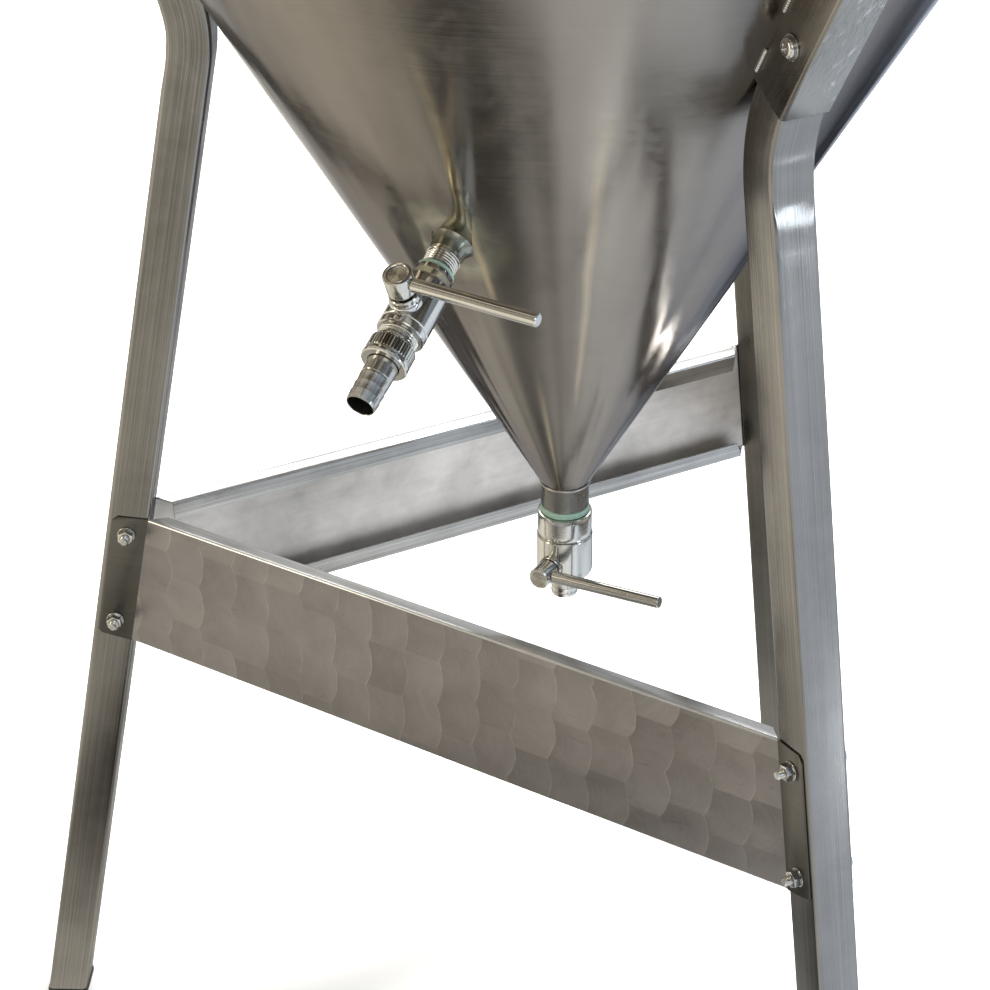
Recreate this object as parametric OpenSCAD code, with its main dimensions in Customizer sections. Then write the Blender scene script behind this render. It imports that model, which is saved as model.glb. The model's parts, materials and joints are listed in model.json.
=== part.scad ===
// Conical fermenter: a 60 degree cone and cylinder on three splayed square-tube legs,
// with a racking ball valve on the cone, a dump ball valve under it and a lift-off lid.
// Millimetres. Z = 0 is the floor, the vessel's axis is the Z axis.

/* [Vessel] */
// Outer radius of the cylinder
vessel_r = 300; // [260:5:340]
// Height of the straight cylinder
shell_h = 560; // [400:10:700]
// Sheet thickness of the cylinder
shell_wall = 1.2; // [1:0.1:2]
// Sheet thickness of the cone, measured level
cone_wall = 1.7; // [1.2:0.1:2.5]
// Height of the cone's virtual point above the floor
apex_z = 449; // [420:1:480]
// Outer radius of the outlet neck
neck_r = 17; // [15:0.5:19]

/* [Stand] */
// Side of the square leg tube
tube = 30; // [25:1:32]
// Wall of the leg tube
tube_wall = 1.5; // [1:0.1:2.5]
// Outer corner radius of the leg tube
tube_round = 3; // [2:0.5:4]
// Distance of a leg's centre line from the axis at the floor
foot_r = 400; // [380:1:420]
// Lean of the lower leg from upright
splay = 11.4; // [9:0.1:13]
// Radius of the leg's bend, on the centre line
bend_r = 96; // [80:1:110]
// Thickness of the foot pad under a leg
pad_h = 4; // [3:0.5:6]
// Height of the braces' lower edge above the floor
brace_z = 351; // [330:1:370]
// Height of a brace's face
brace_h = 104; // [90:1:115]
// Depth of a brace's folded flange
brace_flange = 13; // [10:0.5:16]
// Height of the lip folded from each flange
brace_lip = 14.5; // [10:0.5:18]
// Sheet thickness of the braces
brace_t = 1.2; // [1:0.1:2]

/* [Leg brackets] */
// Start of a bracket, measured up the cone from its point
bracket_s = 470; // [460:1:480]
// Length of a bracket
bracket_len = 120; // [100:1:125]
// Sheet thickness of a bracket
bracket_t = 1.5; // [1:0.1:2]

/* [Racking valve] */
// Compass angle of the racking valve
rack_az = -114.5; // [-125:0.5:-105]
// Angle of the racking valve below level
rack_tilt = 25; // [20:0.5:32]
// Distance up the cone from its point to the racking valve
rack_s = 320.7; // [300:0.5:340]
// How far the racking lever stands off square when closed
rack_skew = 4; // [0:0.5:6]

/* [Dump valve] */
// Compass angle the dump valve's stem points at
dump_az = -118; // [-125:0.5:-105]
// How far the dump lever stands off square when closed
dump_skew = 3.5; // [0:0.5:6]

/* [Levers] */
// Radius of a lever rod
rod_r = 4.25; // [3.5:0.25:5]
// Distance of a lever rod's end from the stem
rod_end = 92; // [80:1:100]

/* [Lid] */
// Height of the lid's dome
lid_rise = 26; // [15:1:40]
// Outer radius of the lid
lid_r = 305; // [300:1:315]
// Radius of the rolled rim bead
rim_r = 4; // [3:0.5:5]

/* [Hidden] */
$fn = 72;
half = 30;
splay_t = tan(splay);
leg_az = [180, -60, 60];
cone_top = apex_z + vessel_r / tan(half);
rim_z = cone_top + shell_h;
bend = splay + half;
knee_z = (foot_r + apex_z * tan(half) - (tube / 2 + 0.3) / cos(half)) / (tan(half) + splay_t);
knee_x = foot_r - knee_z * splay_t;
bend_t = bend_r * tan(bend / 2);
neck_top = apex_z + neck_r / tan(half);
neck_low = apex_z + 10.6;
lean = atan(0.5 * splay_t);
brace_x = foot_r - brace_z * splay_t;
rack_r = rack_s * sin(half);
clip_az = [45, 135, 225, 315];
gap = 0.05;

steel = [0.62, 0.60, 0.57];
bright = [0.78, 0.78, 0.78];
white = [0.93, 0.93, 0.90];
green = [0.62, 0.80, 0.72];
dark = [0.12, 0.12, 0.12];

// ---------- shared shapes ----------
module ring(ro, ri, h) {
  difference() {
    cylinder(r = ro, h = h);
    translate([0, 0, -1]) cylinder(r = ri, h = h + 2);
  }
}
module round_square(w, r) {
  square([w - 2 * r, w], center = true);
  square([w, w - 2 * r], center = true);
  for (x = [-1, 1], y = [-1, 1]) translate([x * (w / 2 - r), y * (w / 2 - r)]) circle(r = r);
}
module tube_section(e = 0) {
  difference() {
    round_square(tube - 2 * e, tube_round - e);
    round_square(tube - 2 * tube_wall + 2 * e, tube_round - tube_wall + e);
  }
}
// Z runs up the cone's side from its point, X is the height above that side
module on_cone(az) {
  rotate([0, 0, az]) translate([0, 0, apex_z]) rotate([0, half, 0]) children();
}
module cone_body(grow = 0) {
  translate([0, 0, apex_z - grow / sin(half)]) cylinder(r1 = 0, r2 = 560 * tan(half), h = 560);
}
module hex_nut(af, h) {
  cylinder(r = af / 2 / cos(30), h = h, $fn = 6);
}
// a row of thread crests between two radii
function thread_pts(r0, r1, z0, n, p) = [for (i = [0:n - 1], k = [0:2])
  [k == 1 ? r1 : r0, z0 + p * (i + k / 2)]];

// ---------- vessel ----------
module cone_shell() color(steel) difference() {
  rotate_extrude() polygon([[neck_r, neck_top], [vessel_r, cone_top],
    [vessel_r - cone_wall, cone_top], [neck_r - cone_wall, neck_top]]);
  rack() translate([0, 0, -12]) cylinder(r = 10.45, h = 24);
}
module cylinder_shell() color(steel) translate([0, 0, cone_top])
  ring(vessel_r, vessel_r - shell_wall, shell_h - rim_r);
module rim_bead() color(steel) translate([0, 0, rim_z]) rotate_extrude()
  translate([vessel_r - shell_wall / 2, 0]) difference() {
    circle(r = rim_r);
    circle(r = rim_r - 1.2);
  }
module outlet_neck() color(steel) difference() {
  union() {
    translate([0, 0, neck_low]) cylinder(r = neck_r, h = neck_top - neck_low);
    translate([0, 0, neck_low - 17]) cylinder(r = 15.2, h = 17);
  }
  translate([0, 0, neck_low - 20]) cylinder(r = 13, h = 60);
}
module racking_nipple() color(steel) rack() difference() {
  rotate_extrude() polygon(concat([[0, -4], [10.4, -4], [10.4, 12.4], [11.1, 12.4], [11.1, 13.8]],
    thread_pts(9.95, 10.48, 13.8, 5, 1.814), [[9.95, 33.4], [0, 33.4]]));
  translate([0, 0, -10]) cylinder(r = 7, h = 50);
}
module side_handles() color(bright) difference() {
  for (a = [0, 180]) rotate([0, 0, a]) translate([vessel_r, 0, rim_z - 150]) {
    translate([34, 0, 0]) rotate([90, 0, 0]) translate([0, 0, -45]) cylinder(r = 5, h = 90);
    for (s = [-1, 1]) {
      translate([24, s * 45, 0]) rotate([s < 0 ? 180 : 0, 0, 0])
        rotate_extrude(angle = 90) translate([10, 0]) circle(r = 5);
      translate([-12, s * 55, 0]) rotate([0, 90, 0]) cylinder(r = 5, h = 36);
    }
  }
  translate([0, 0, cone_top]) cylinder(r = vessel_r + 0.03, h = shell_h);
}

// ---------- stand ----------
// the straight runs reach a little way into the bend's wall, so that the leg is one piece
module leg(az) rotate([0, 0, az]) {
  difference() {
    translate([bend_cx, 0, bend_cz]) rotate([0, -splay, 0]) translate([-bend_r, 0, lap])
      rotate([180, 0, 0]) linear_extrude(900) tube_section(0.05);
    translate([0, -100, pad_h - 400]) cube([900, 200, 400]);
  }
  translate([bend_cx, 0, bend_cz]) rotate([90, 0, 0])
    rotate([0, 0, 180 - half]) rotate_extrude(angle = bend) translate([bend_r, 0]) tube_section();
  translate([bend_cx, 0, bend_cz]) rotate([0, half, 0]) translate([-bend_r, 0, -lap])
    linear_extrude(bracket_s + bracket_len - 5 - leg_bend_s + lap) tube_section(0.05);
}
lap = 1.5;
bend_cx = knee_x + bend_t * sin(splay) + bend_r * cos(splay);
bend_cz = knee_z - bend_t * cos(splay) + bend_r * sin(splay);
leg_bend_s = (knee_x + bend_t * sin(half)) * sin(half)
  + (knee_z + bend_t * cos(half) - apex_z) * cos(half);
module leg_holes(az) {
  for (v = [0, 1]) brace_bolt_at(az, v) translate([0, 0, -60]) cylinder(r = 3.2, h = 120);
  for (v = [0, 1]) bracket_screw_at(az, v) translate([0, 0, -60]) cylinder(r = 3.2, h = 120);
}
module drilled_leg(i) color(steel) difference() { leg(leg_az[i]); leg_holes(leg_az[i]); }
module leg_a() drilled_leg(0);
module leg_b() drilled_leg(1);
module leg_c() drilled_leg(2);

module foot_pads() color(dark) for (a = leg_az) rotate([0, 0, a]) {
  translate([foot_r - pad_h * splay_t, 0, 0]) linear_extrude(pad_h) round_square(tube + 2, 3);
  difference() {
    translate([foot_r, 0, 0]) rotate([0, -splay, 0]) linear_extrude(22)
      round_square(tube - 2 * tube_wall - 0.3, 1.5);
    translate([0, -100, -400 + pad_h]) cube([900, 200, 400]);
  }
}

// bracket: a folded channel that holds the leg's upper end against the cone
module bracket_section() {
  w = tube / 2 + 0.2;
  o = w + bracket_t;
  h = tube + 0.7;
  difference() {
    union() {
      translate([-4, -o]) square([h + bracket_t + 4 - 2.5, 2 * o]);
      translate([-4, -o + 2.5]) square([h + bracket_t + 4, 2 * o - 5]);
      for (s = [-1, 1]) translate([h + bracket_t - 2.5, s * (o - 2.5)]) circle(r = 2.5);
    }
    translate([-5, -w]) square([h + 5, 2 * w]);
  }
}
module bracket(i) color(steel) difference() {
  on_cone(leg_az[i]) translate([0, 0, bracket_s]) linear_extrude(bracket_len) bracket_section();
  cone_body(gap);
  for (v = [0, 1]) bracket_screw_at(leg_az[i], v) translate([0, 0, -60]) cylinder(r = 3.2, h = 120);
}
module bracket_a() bracket(0);
module bracket_b() bracket(1);
module bracket_c() bracket(2);
// screw axis across the leg, Z points along the compass direction
module bracket_screw_at(az, v) on_cone(az)
  translate([15.5, 0, bracket_s + (v == 0 ? 41.5 : bracket_len - 26)]) rotate([-90, 0, 0])
    children();
bracket_w = tube / 2 + 0.2 + bracket_t;
module bracket_screws() color(bright) for (a = leg_az, v = [0, 1]) bracket_screw_at(a, v) {
  difference() {
    union() {
      translate([0, 0, -bracket_w - 4.65]) cylinder(r1 = 5, r2 = 6, h = 1.1);
      translate([0, 0, -bracket_w - 3.55]) cylinder(r = 6, h = 2.3);
    }
    for (t = [0, 90]) rotate([0, 0, t]) translate([-3, -0.6, -bracket_w - 6]) cube([6, 1.2, 3]);
  }
  translate([0, 0, -bracket_w - 1.3]) cylinder(r = 3, h = 2 * bracket_w + 10);
}
module bracket_washers() color(bright) for (a = leg_az, v = [0, 1]) bracket_screw_at(a, v) {
  translate([0, 0, -bracket_w - 1.22]) ring(7.5, 3.05, 1.2);
  translate([0, 0, bracket_w + 0.02]) ring(6, 3.05, 1.15);
}
module bracket_nuts() color(bright) for (a = leg_az, v = [0, 1]) bracket_screw_at(a, v)
  translate([0, 0, bracket_w + 1.2]) difference() {
    hex_nut(10, 5);
    translate([0, 0, -1]) cylinder(r = 3.02, h = 7);
  }
// short weld runs in the corner between a bracket and the cone
module bracket_welds() color(bright)
  for (a = leg_az, s = [-1, 1], k = [5.5, 52, 98.5])
    on_cone(a) translate([0, s * (bracket_w + 0.05), bracket_s + k]) linear_extrude(18)
      polygon([[-0.4, 0], [2.2, 0], [1.5, s * 1], [0, s * 2.2], [-0.4, s * 2.5]]);

// brace: a folded channel between two legs, its end tabs lie on the legs' side faces
brace_top_cut = 0.866 * splay_t * cos(lean);
brace_in = tube / 2 - 1.3;
brace_y0 = 0.866 * (brace_x - brace_in * cos(splay)) - 0.5 * (tube / 2 + brace_t);
brace_x0 = 0.5 * (brace_x - brace_in * cos(splay)) + 0.866 * (tube / 2 + brace_t);
module brace_frame(az) rotate([0, 0, az])
  translate([brace_x0, 0, brace_z - brace_in * sin(splay)]) rotate([0, -lean, 0]) children();
function brace_half(v) = brace_y0 - v * brace_top_cut;
module brace_sheet(az) {
  t = brace_t;
  w0 = brace_half(0);
  w1 = brace_half(brace_h);
  brace_frame(az) {
    rotate([90, 0, -90]) linear_extrude(t)
      polygon([[-w0, 0], [w0, 0], [w1, brace_h], [-w1, brace_h]]);
    translate([-brace_flange, 0, 0]) linear_extrude(t)
      polygon([[0, -w0 + 8], [brace_flange, -w0 + 1], [brace_flange, w0 - 1], [0, w0 - 8]]);
    translate([-brace_flange, 0, brace_h - t]) linear_extrude(t)
      polygon([[0, -w1 + 8], [brace_flange, -w1 + 1], [brace_flange, w1 - 1], [0, w1 - 8]]);
    translate([-brace_flange + t, 0, 0]) rotate([90, 0, -90]) linear_extrude(t)
      polygon([[-w0 + 8, 0], [w0 - 8, 0], [w0 - 11, brace_lip], [-w0 + 11, brace_lip]]);
    translate([-brace_flange + t, 0, brace_h]) rotate([90, 0, -90]) linear_extrude(t)
      polygon([[-w1 + 8, 0], [w1 - 8, 0], [w1 - 5, -brace_lip], [-w1 + 5, -brace_lip]]);
  }
}
// end tab of the brace that starts at the leg with compass angle az, on its side s
module brace_tab(az, s) rotate([0, 0, az])
  translate([brace_x, 0, brace_z]) rotate([0, -splay, 0])
    translate([0, s * (tube / 2 + brace_t / 2 + 0.02), 0]) rotate([90, 0, 0])
      translate([0, 0, -brace_t / 2]) linear_extrude(brace_t)
        polygon([[-brace_in - 0.6, 0], [11.5, 3], [11.5, brace_h], [-brace_in - 0.6, brace_h + 1.6]]);
module brace(i, j) color(steel) difference() {
  union() {
    brace_sheet(leg_mid(i, j));
    brace_tab(leg_az[i], 1);
    brace_tab(leg_az[j], -1);
  }
  for (k = [i, j], v = [0, 1]) brace_bolt_at(leg_az[k], v)
    translate([0, 0, -60]) cylinder(r = 3.2, h = 120);
}
function leg_mid(i, j) = leg_az[i] + 60;
module brace_ab() brace(0, 1);
module brace_bc() brace(1, 2);
module brace_ca() brace(2, 0);
// bolt axis across the leg, Z points along the compass direction
module brace_bolt_at(az, v) rotate([0, 0, az])
  translate([brace_x, 0, brace_z]) rotate([0, -splay, 0])
    translate([0, 0, v == 0 ? 16 : brace_h - 14]) rotate([-90, 0, 0]) children();
nut_side = [1, -1, 1];
bolt_w = tube / 2 + brace_t + 0.04;
module bolt_place() for (i = [0:2], v = [0, 1]) brace_bolt_at(leg_az[i], v)
  rotate([nut_side[i] > 0 ? 0 : 180, 0, 0]) children();
module brace_bolts() color(bright) bolt_place() {
  translate([0, 0, -bolt_w - 1.2 - 4]) hex_nut(10, 4);
  translate([0, 0, -bolt_w - 1.2]) cylinder(r = 3, h = 2 * bolt_w + 1.2 + 1.2 + 5 + 5.2);
}
module brace_washers() color(bright) bolt_place() {
  translate([0, 0, -bolt_w - 1.2]) ring(6, 3.05, 1.15);
  translate([0, 0, bolt_w + 0.02]) ring(6, 3.05, 1.15);
}
module brace_nuts() color(bright) bolt_place() translate([0, 0, bolt_w + 1.2]) difference() {
  hex_nut(10, 5);
  translate([0, 0, -1]) cylinder(r = 3.02, h = 7);
}

// ---------- ball valves: flow runs along Z, the stem stands along -X, the lever along Y ----------
module rack() rotate([0, 0, rack_az]) translate([rack_r, 0, apex_z + rack_r / tan(half)])
  rotate([0, 90 + rack_tilt, 0]) children();
module dump() rotate([0, 0, dump_az]) translate([0, 0, neck_low]) rotate([0, 180, 0]) children();
rack_ball_z = 58.2;
rack_ball_r = 11;
dump_ball_z = 43.5;
dump_ball_r = 10;
module valve_ball(z, r, bore) translate([0, 0, z]) difference() {
  sphere(r = r);
  rotate([90, 0, 0]) translate([0, 0, -20]) cylinder(r = bore, h = 40);
  translate([-r - 1, -10, -2.5]) cube([3.8, 20, 5]);
}
module valve_seats(z, r, bore, ro, z0, z1) difference() {
  union() {
    translate([0, 0, z0]) ring(ro, bore, z - 0.65 * r - z0);
    translate([0, 0, z + 0.65 * r]) ring(ro, bore, z1 - z - 0.65 * r);
  }
  translate([0, 0, z]) sphere(r = r + gap);
}
module valve_stem(z, r) translate([0, 0, z]) rotate([0, -90, 0]) {
  translate([-2.45, -3.2, r - 2.7]) cube([4.9, 6.4, 3.2]);
  translate([0, 0, r + 0.45]) cylinder(r = 4, h = 23.5 - r - 0.45);
  translate([0, 0, 23.5]) cylinder(r = 3.5, h = 9);
}
module valve_packing(z, x0, x1) translate([0, 0, z]) rotate([0, -90, 0])
  translate([0, 0, x0]) ring(6.45, 4.05, x1 - x0);
module valve_hub(z, r, top, rod_x, skew, dish) translate([0, 0, z]) rotate([skew, 0, 0])
  rotate([0, -90, 0]) difference() {
    rotate_extrude() polygon([[0, 23.5], [r - 0.6, 23.5], [r, 24.1], [r, top - 0.6],
      [r - 0.6, top], [0, top]]);
    translate([0, 0, 20]) cylinder(r = 3.55, h = 12.6);
    translate([0, 0, rod_x]) rotate([-90, 0, 0]) translate([0, 0, 4]) cylinder(r = 3.02, h = 20);
    translate([0, 0, top - dish]) cylinder(r = r - 3.2, h = 3);
  }
module valve_lever(z, r, rod_x, skew) translate([0, 0, z]) rotate([skew, 0, 0])
  rotate([0, -90, 0]) translate([0, 0, rod_x]) rotate([-90, 0, 0]) {
    translate([0, 0, 4.2]) cylinder(r = 3, h = r + 0.1 - 4.2);
    rotate_extrude() polygon([[0, r + 0.05], [rod_r, r + 0.05], [rod_r, rod_end - 0.7],
      [rod_r - 0.7, rod_end], [0, rod_end]]);
  }

// racking valve
module racking_seal() color(green) rack() translate([0, 0, 23.4]) ring(11.4, 10.5, 2.2);
module racking_body() color(bright) rack() difference() {
  union() {
    rotate_extrude() polygon([[0, 25.6], [11.6, 25.6], [12.1, 26.1], [12.1, 30], [15.2, 36],
      [15.2, 68.6], [14.5, 69.1], [14.5, 69.7], [15.2, 70.2], [15.2, 74.2], [14.7, 74.7],
      [0, 74.7]]);
    translate([0, 0, rack_ball_z]) rotate([0, -90, 0]) rotate_extrude()
      polygon([[0, 0], [10.2, 0], [10.2, 15.6], [9.4, 16.6], [9.4, 20.2], [8.9, 20.7], [0, 20.7]]);
  }
  translate([0, 0, 20]) cylinder(r = 10, h = 13.5);
  translate([0, 0, 30]) cylinder(r = 7, h = 50);
  translate([0, 0, 46.3]) cylinder(r = 11.5, h = 40);
  translate([0, 0, 70]) cylinder(r = 12.8, h = 20);
  translate([0, 0, rack_ball_z]) rotate([0, -90, 0]) cylinder(r = 4.05, h = 30);
  translate([0, 0, rack_ball_z]) rotate([0, -90, 0]) translate([0, 0, 15.5]) cylinder(r = 6.5, h = 9);
}
module racking_seats() color(white) rack()
  valve_seats(rack_ball_z, rack_ball_r, 7.1, 11.45, 46.35, 69.95);
module racking_ball() color(bright) rack() valve_ball(rack_ball_z, rack_ball_r, 6.9);
module racking_stem() color(bright) rack() valve_stem(rack_ball_z, rack_ball_r);
module racking_packing() color(white) rack() valve_packing(rack_ball_z, 15.6, 20.2);
module racking_hub() color(bright) rack() valve_hub(rack_ball_z, 9.05, 37, 30.4, rack_skew, 1);
module racking_lever() color(bright) rack() valve_lever(rack_ball_z, 9.05, 30.4, rack_skew);
module racking_union() color(bright) rack() difference() {
  rotate_extrude() polygon(concat([[0, 70.05], [12.75, 70.05], [12.75, 75.2]],
    thread_pts(12.1, 12.7, 75.2, 6, 1.814), [[12.1, 87.5], [0, 87.5]]));
  translate([0, 0, 60]) cylinder(r = 7, h = 40);
}
module racking_gasket() color(dark) rack() translate([0, 0, 87.55]) ring(12, 7.2, 1.4);
module racking_tail() color(bright) rack() difference() {
  rotate_extrude() polygon([[0, 89], [12.3, 89], [12.3, 92.3], [9.3, 92.3], [9.3, 97.3],
    [9.65, 97.6], [9.65, 107], [9.2, 107.5], [9.2, 109], [9.6, 109.3], [9.2, 113.4],
    [9.2, 115], [9.6, 115.3], [9.2, 119.4], [9.2, 121], [9.6, 121.3], [9.2, 125],
    [8.7, 128], [0, 128]]);
  translate([0, 0, 80]) cylinder(r = 8.1, h = 60);
}
module racking_nut() color(bright) rack() difference() {
  rotate_extrude() polygon([[0, 82], [13.6, 82], [14.6, 83], [14.6, 92.4], [14.3, 92.6],
    [14.3, 93], [14.8, 93.4], [14.8, 96.2], [14, 97], [0, 97]]);
  translate([0, 0, 80]) cylinder(r = 12.78, h = 12.4);
  translate([0, 0, 80]) cylinder(r = 9.72, h = 30);
}

// dump valve
module dump_seal() color(green) dump() translate([0, 0, 0.2]) ring(16.6, 15.25, 4.9);
module dump_collar() color(bright) dump() rotate_extrude()
  polygon([[15.3, 5.2], [18.8, 5.2], [19.3, 5.7], [19.3, 22.1], [18.8, 22.6], [13.95, 22.6],
    [13.95, 27], [7.5, 27], [7.5, 18], [15.3, 18]]);
module dump_body() color(bright) dump() difference() {
  union() {
    rotate_extrude() polygon([[0, 22.65], [18.7, 22.65], [19.4, 23.7], [20, 24.3], [20, 53.4],
      [19.4, 54.8], [18, 55.6], [0, 55.6]]);
    translate([0, 0, dump_ball_z]) rotate([0, -90, 0]) rotate_extrude()
      polygon([[0, 0], [8.6, 0], [8.6, 21.9], [8.1, 22.4], [0, 22.4]]);
  }
  translate([0, 0, 20]) cylinder(r = 14, h = 7.05);
  translate([0, 0, 10]) cylinder(r = 7.5, h = 60);
  translate([0, 0, 31.5]) cylinder(r = 12.1, h = 40);
  translate([0, 0, 52.4]) cylinder(r = 13.6, h = 10);
  translate([0, 0, dump_ball_z]) rotate([0, -90, 0]) cylinder(r = 4.05, h = 30);
  translate([0, 0, dump_ball_z]) rotate([0, -90, 0]) translate([0, 0, 17]) cylinder(r = 6.5, h = 9);
}
module dump_seats() color(white) dump()
  valve_seats(dump_ball_z, dump_ball_r, 6.1, 12.05, 31.55, 52.35);
module dump_ball() color(bright) dump() valve_ball(dump_ball_z, dump_ball_r, 6);
module dump_stem() color(bright) dump() valve_stem(dump_ball_z, dump_ball_r);
module dump_packing() color(white) dump() valve_packing(dump_ball_z, 17.1, 21.9);
module dump_hub() color(bright) dump() valve_hub(dump_ball_z, 7.8, 38.5, 30.8, -dump_skew, 0.4);
module dump_lever() color(bright) dump() valve_lever(dump_ball_z, 7.8, 30.8, -dump_skew);
module dump_spout() color(bright) dump() difference() {
  rotate_extrude() polygon([[0, 52.4], [13.55, 52.4], [13.55, 55.6], [9.8, 55.6], [9.8, 66],
    [9.35, 66.4], [9.35, 67.6], [9.75, 67.9], [9.35, 70.8], [9.35, 71.4], [9.75, 71.7],
    [9, 74.8], [0, 74.8]]);
  translate([0, 0, 50]) cylinder(r = 6.2, h = 30);
}

// ---------- lid, airlock and lid clips ----------
module lid_pan() color(steel) difference() {
  translate([0, 0, rim_z + rim_r + 3]) rotate_extrude()
    polygon([[0, lid_rise], [60, lid_rise], [275, 6], [290, 0], [lid_r, 0], [lid_r, -9],
      [lid_r + 1.2, -9], [lid_r + 1.2, 1.2], [290.3, 1.2], [275.3, 7.2], [60.3, lid_rise + 1.2],
      [0, lid_rise + 1.2]]);
  translate([150, 0, rim_z]) cylinder(r = 11, h = 80);
}
module lid_gasket() color(white) translate([0, 0, rim_z + rim_r + 0.05]) ring(304, 290, 2.9);
lid_top = rim_z + rim_r + 3 + lid_rise + 1.2;
module lid_handle() color(bright) translate([0, 0, lid_top]) {
  for (s = [-1, 1]) translate([0, s * 55, 0]) cylinder(r = 9, h = 2.5);
  for (s = [-1, 1]) translate([0, s * 55, 2.5]) cylinder(r = 5, h = 27.5);
  for (s = [-1, 1]) translate([0, s * 45, 30]) rotate([0, -90, 0])
    rotate([0, 0, s > 0 ? 0 : -90]) rotate_extrude(angle = 90) translate([10, 0]) circle(r = 5);
  translate([0, -45, 40]) rotate([-90, 0, 0]) cylinder(r = 5, h = 90);
}
air_z = rim_z + rim_r + 3 + 6 + (275 - 150) * (lid_rise - 6) / 215;
module airlock_grommet() color(dark) translate([150, 0, air_z]) difference() {
  union() {
    translate([0, 0, -3]) cylinder(r = 10.8, h = 6.2);
    translate([0, 0, 2.9]) cylinder(r = 15, h = 3.5);
    translate([0, 0, -6.2]) cylinder(r = 14, h = 3.6);
  }
  translate([0, 0, -10]) cylinder(r = 5.05, h = 30);
}
module airlock_body() color([0.9, 0.95, 1, 0.5]) translate([150, 0, air_z]) {
  translate([0, 0, -22]) ring(5, 3.6, 52);
  translate([0, 0, 30]) difference() {
    rotate_extrude() polygon([[3.6, 0], [14, 0], [20, 6], [20, 52], [18.6, 52], [18.6, 6.6],
      [13.4, 1.4], [3.6, 1.4]]);
    translate([0, 0, -1]) cylinder(r = 3.6, h = 3);
  }
  translate([0, 0, 30]) ring(5, 3.6, 26);
}
module airlock_cap() color([0.85, 0.15, 0.12]) translate([150, 0, air_z + 30]) {
  difference() {
    translate([0, 0, 44]) cylinder(r = 21.6, h = 9.6);
    translate([0, 0, 43]) cylinder(r = 20.08, h = 9.1);
    for (a = [0:60:300]) rotate([0, 0, a]) translate([9, 0, 50]) cylinder(r = 1.5, h = 6);
  }
}
module airlock_float() color([0.95, 0.95, 0.95]) translate([150, 0, air_z + 30]) difference() {
  translate([0, 0, 2]) cylinder(r = 11, h = 25.6);
  translate([0, 0, 1]) cylinder(r = 9.8, h = 25.3);
}
clip_x = vessel_r + 13;
clip_z = rim_z - 45;
module clip_bases() color(bright) for (a = clip_az) rotate([0, 0, a]) {
  translate([vessel_r + 0.02, -14, clip_z - 22]) cube([3, 28, 36]);
  for (s = [-1, 1]) translate([0, s * 12 + 1.5, clip_z]) rotate([90, 0, 0]) linear_extrude(3) {
    translate([vessel_r + 2, -8]) square([clip_x - vessel_r - 2, 16]);
    translate([clip_x, 0]) circle(r = 8);
  }
  translate([clip_x, -15, clip_z]) rotate([-90, 0, 0]) cylinder(r = 3, h = 30);
}
// lid clip, hanging open: a strap with a hooked end and an eye round the base's pin
module lid_clip(a) color(bright) rotate([0, 0, a]) translate([clip_x, 0, clip_z]) {
  difference() {
    union() {
      translate([0, -10, 0]) rotate([-90, 0, 0]) cylinder(r = 5, h = 20);
      translate([-1, -10, -58.5]) cube([3, 20, 58.5]);
      translate([-1, -10, -61.5]) cube([20, 20, 3]);
      translate([16, -10, -61.5]) cube([3, 20, 8]);
    }
    translate([0, -20, 0]) rotate([-90, 0, 0]) cylinder(r = 3.05, h = 40);
  }
}
module clip_1() lid_clip(clip_az[0]);
module clip_2() lid_clip(clip_az[1]);
module clip_3() lid_clip(clip_az[2]);
module clip_4() lid_clip(clip_az[3]);

cone_shell();
cylinder_shell();
rim_bead();
outlet_neck();
racking_nipple();
side_handles();
clip_bases();
leg_a();
leg_b();
leg_c();
bracket_a();
bracket_b();
bracket_c();
bracket_welds();
bracket_screws();
bracket_washers();
bracket_nuts();
brace_ab();
brace_bc();
brace_ca();
brace_bolts();
brace_washers();
brace_nuts();
foot_pads();
racking_seal();
racking_body();
racking_seats();
racking_ball();
racking_stem();
racking_packing();
racking_hub();
racking_lever();
racking_union();
racking_gasket();
racking_tail();
racking_nut();
dump_seal();
dump_collar();
dump_body();
dump_seats();
dump_ball();
dump_stem();
dump_packing();
dump_hub();
dump_lever();
dump_spout();
lid_pan();
lid_gasket();
lid_handle();
airlock_grommet();
airlock_body();
airlock_cap();
airlock_float();
clip_1();
clip_2();
clip_3();
clip_4();
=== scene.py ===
import bpy, bmesh, json, random
from math import sin, cos, tan, pi, radians, sqrt, atan2, hypot, exp
from mathutils import Matrix, Vector, noise


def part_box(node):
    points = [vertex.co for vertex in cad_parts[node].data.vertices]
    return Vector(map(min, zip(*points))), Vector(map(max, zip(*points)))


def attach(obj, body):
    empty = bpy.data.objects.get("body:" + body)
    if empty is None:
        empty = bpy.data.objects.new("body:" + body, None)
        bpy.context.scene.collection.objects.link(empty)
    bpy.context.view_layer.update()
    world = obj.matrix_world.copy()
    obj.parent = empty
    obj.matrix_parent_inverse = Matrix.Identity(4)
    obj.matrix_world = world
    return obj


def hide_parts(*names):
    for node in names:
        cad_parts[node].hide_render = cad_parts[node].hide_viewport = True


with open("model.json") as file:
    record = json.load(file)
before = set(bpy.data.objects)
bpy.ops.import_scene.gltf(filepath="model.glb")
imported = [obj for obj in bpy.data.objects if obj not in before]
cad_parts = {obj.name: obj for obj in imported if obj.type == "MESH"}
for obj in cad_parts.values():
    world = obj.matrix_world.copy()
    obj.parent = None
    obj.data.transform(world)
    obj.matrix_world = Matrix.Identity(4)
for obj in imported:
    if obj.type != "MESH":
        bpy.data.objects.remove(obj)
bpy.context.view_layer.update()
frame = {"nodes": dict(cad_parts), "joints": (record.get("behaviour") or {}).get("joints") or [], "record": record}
SV = "stand_vessel"
rnd = random.Random(7)


# frames
# lengths below are millimetres in the CAD's frame; MM brings them to metres
MM = Matrix.Scale(0.001, 4)


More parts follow.
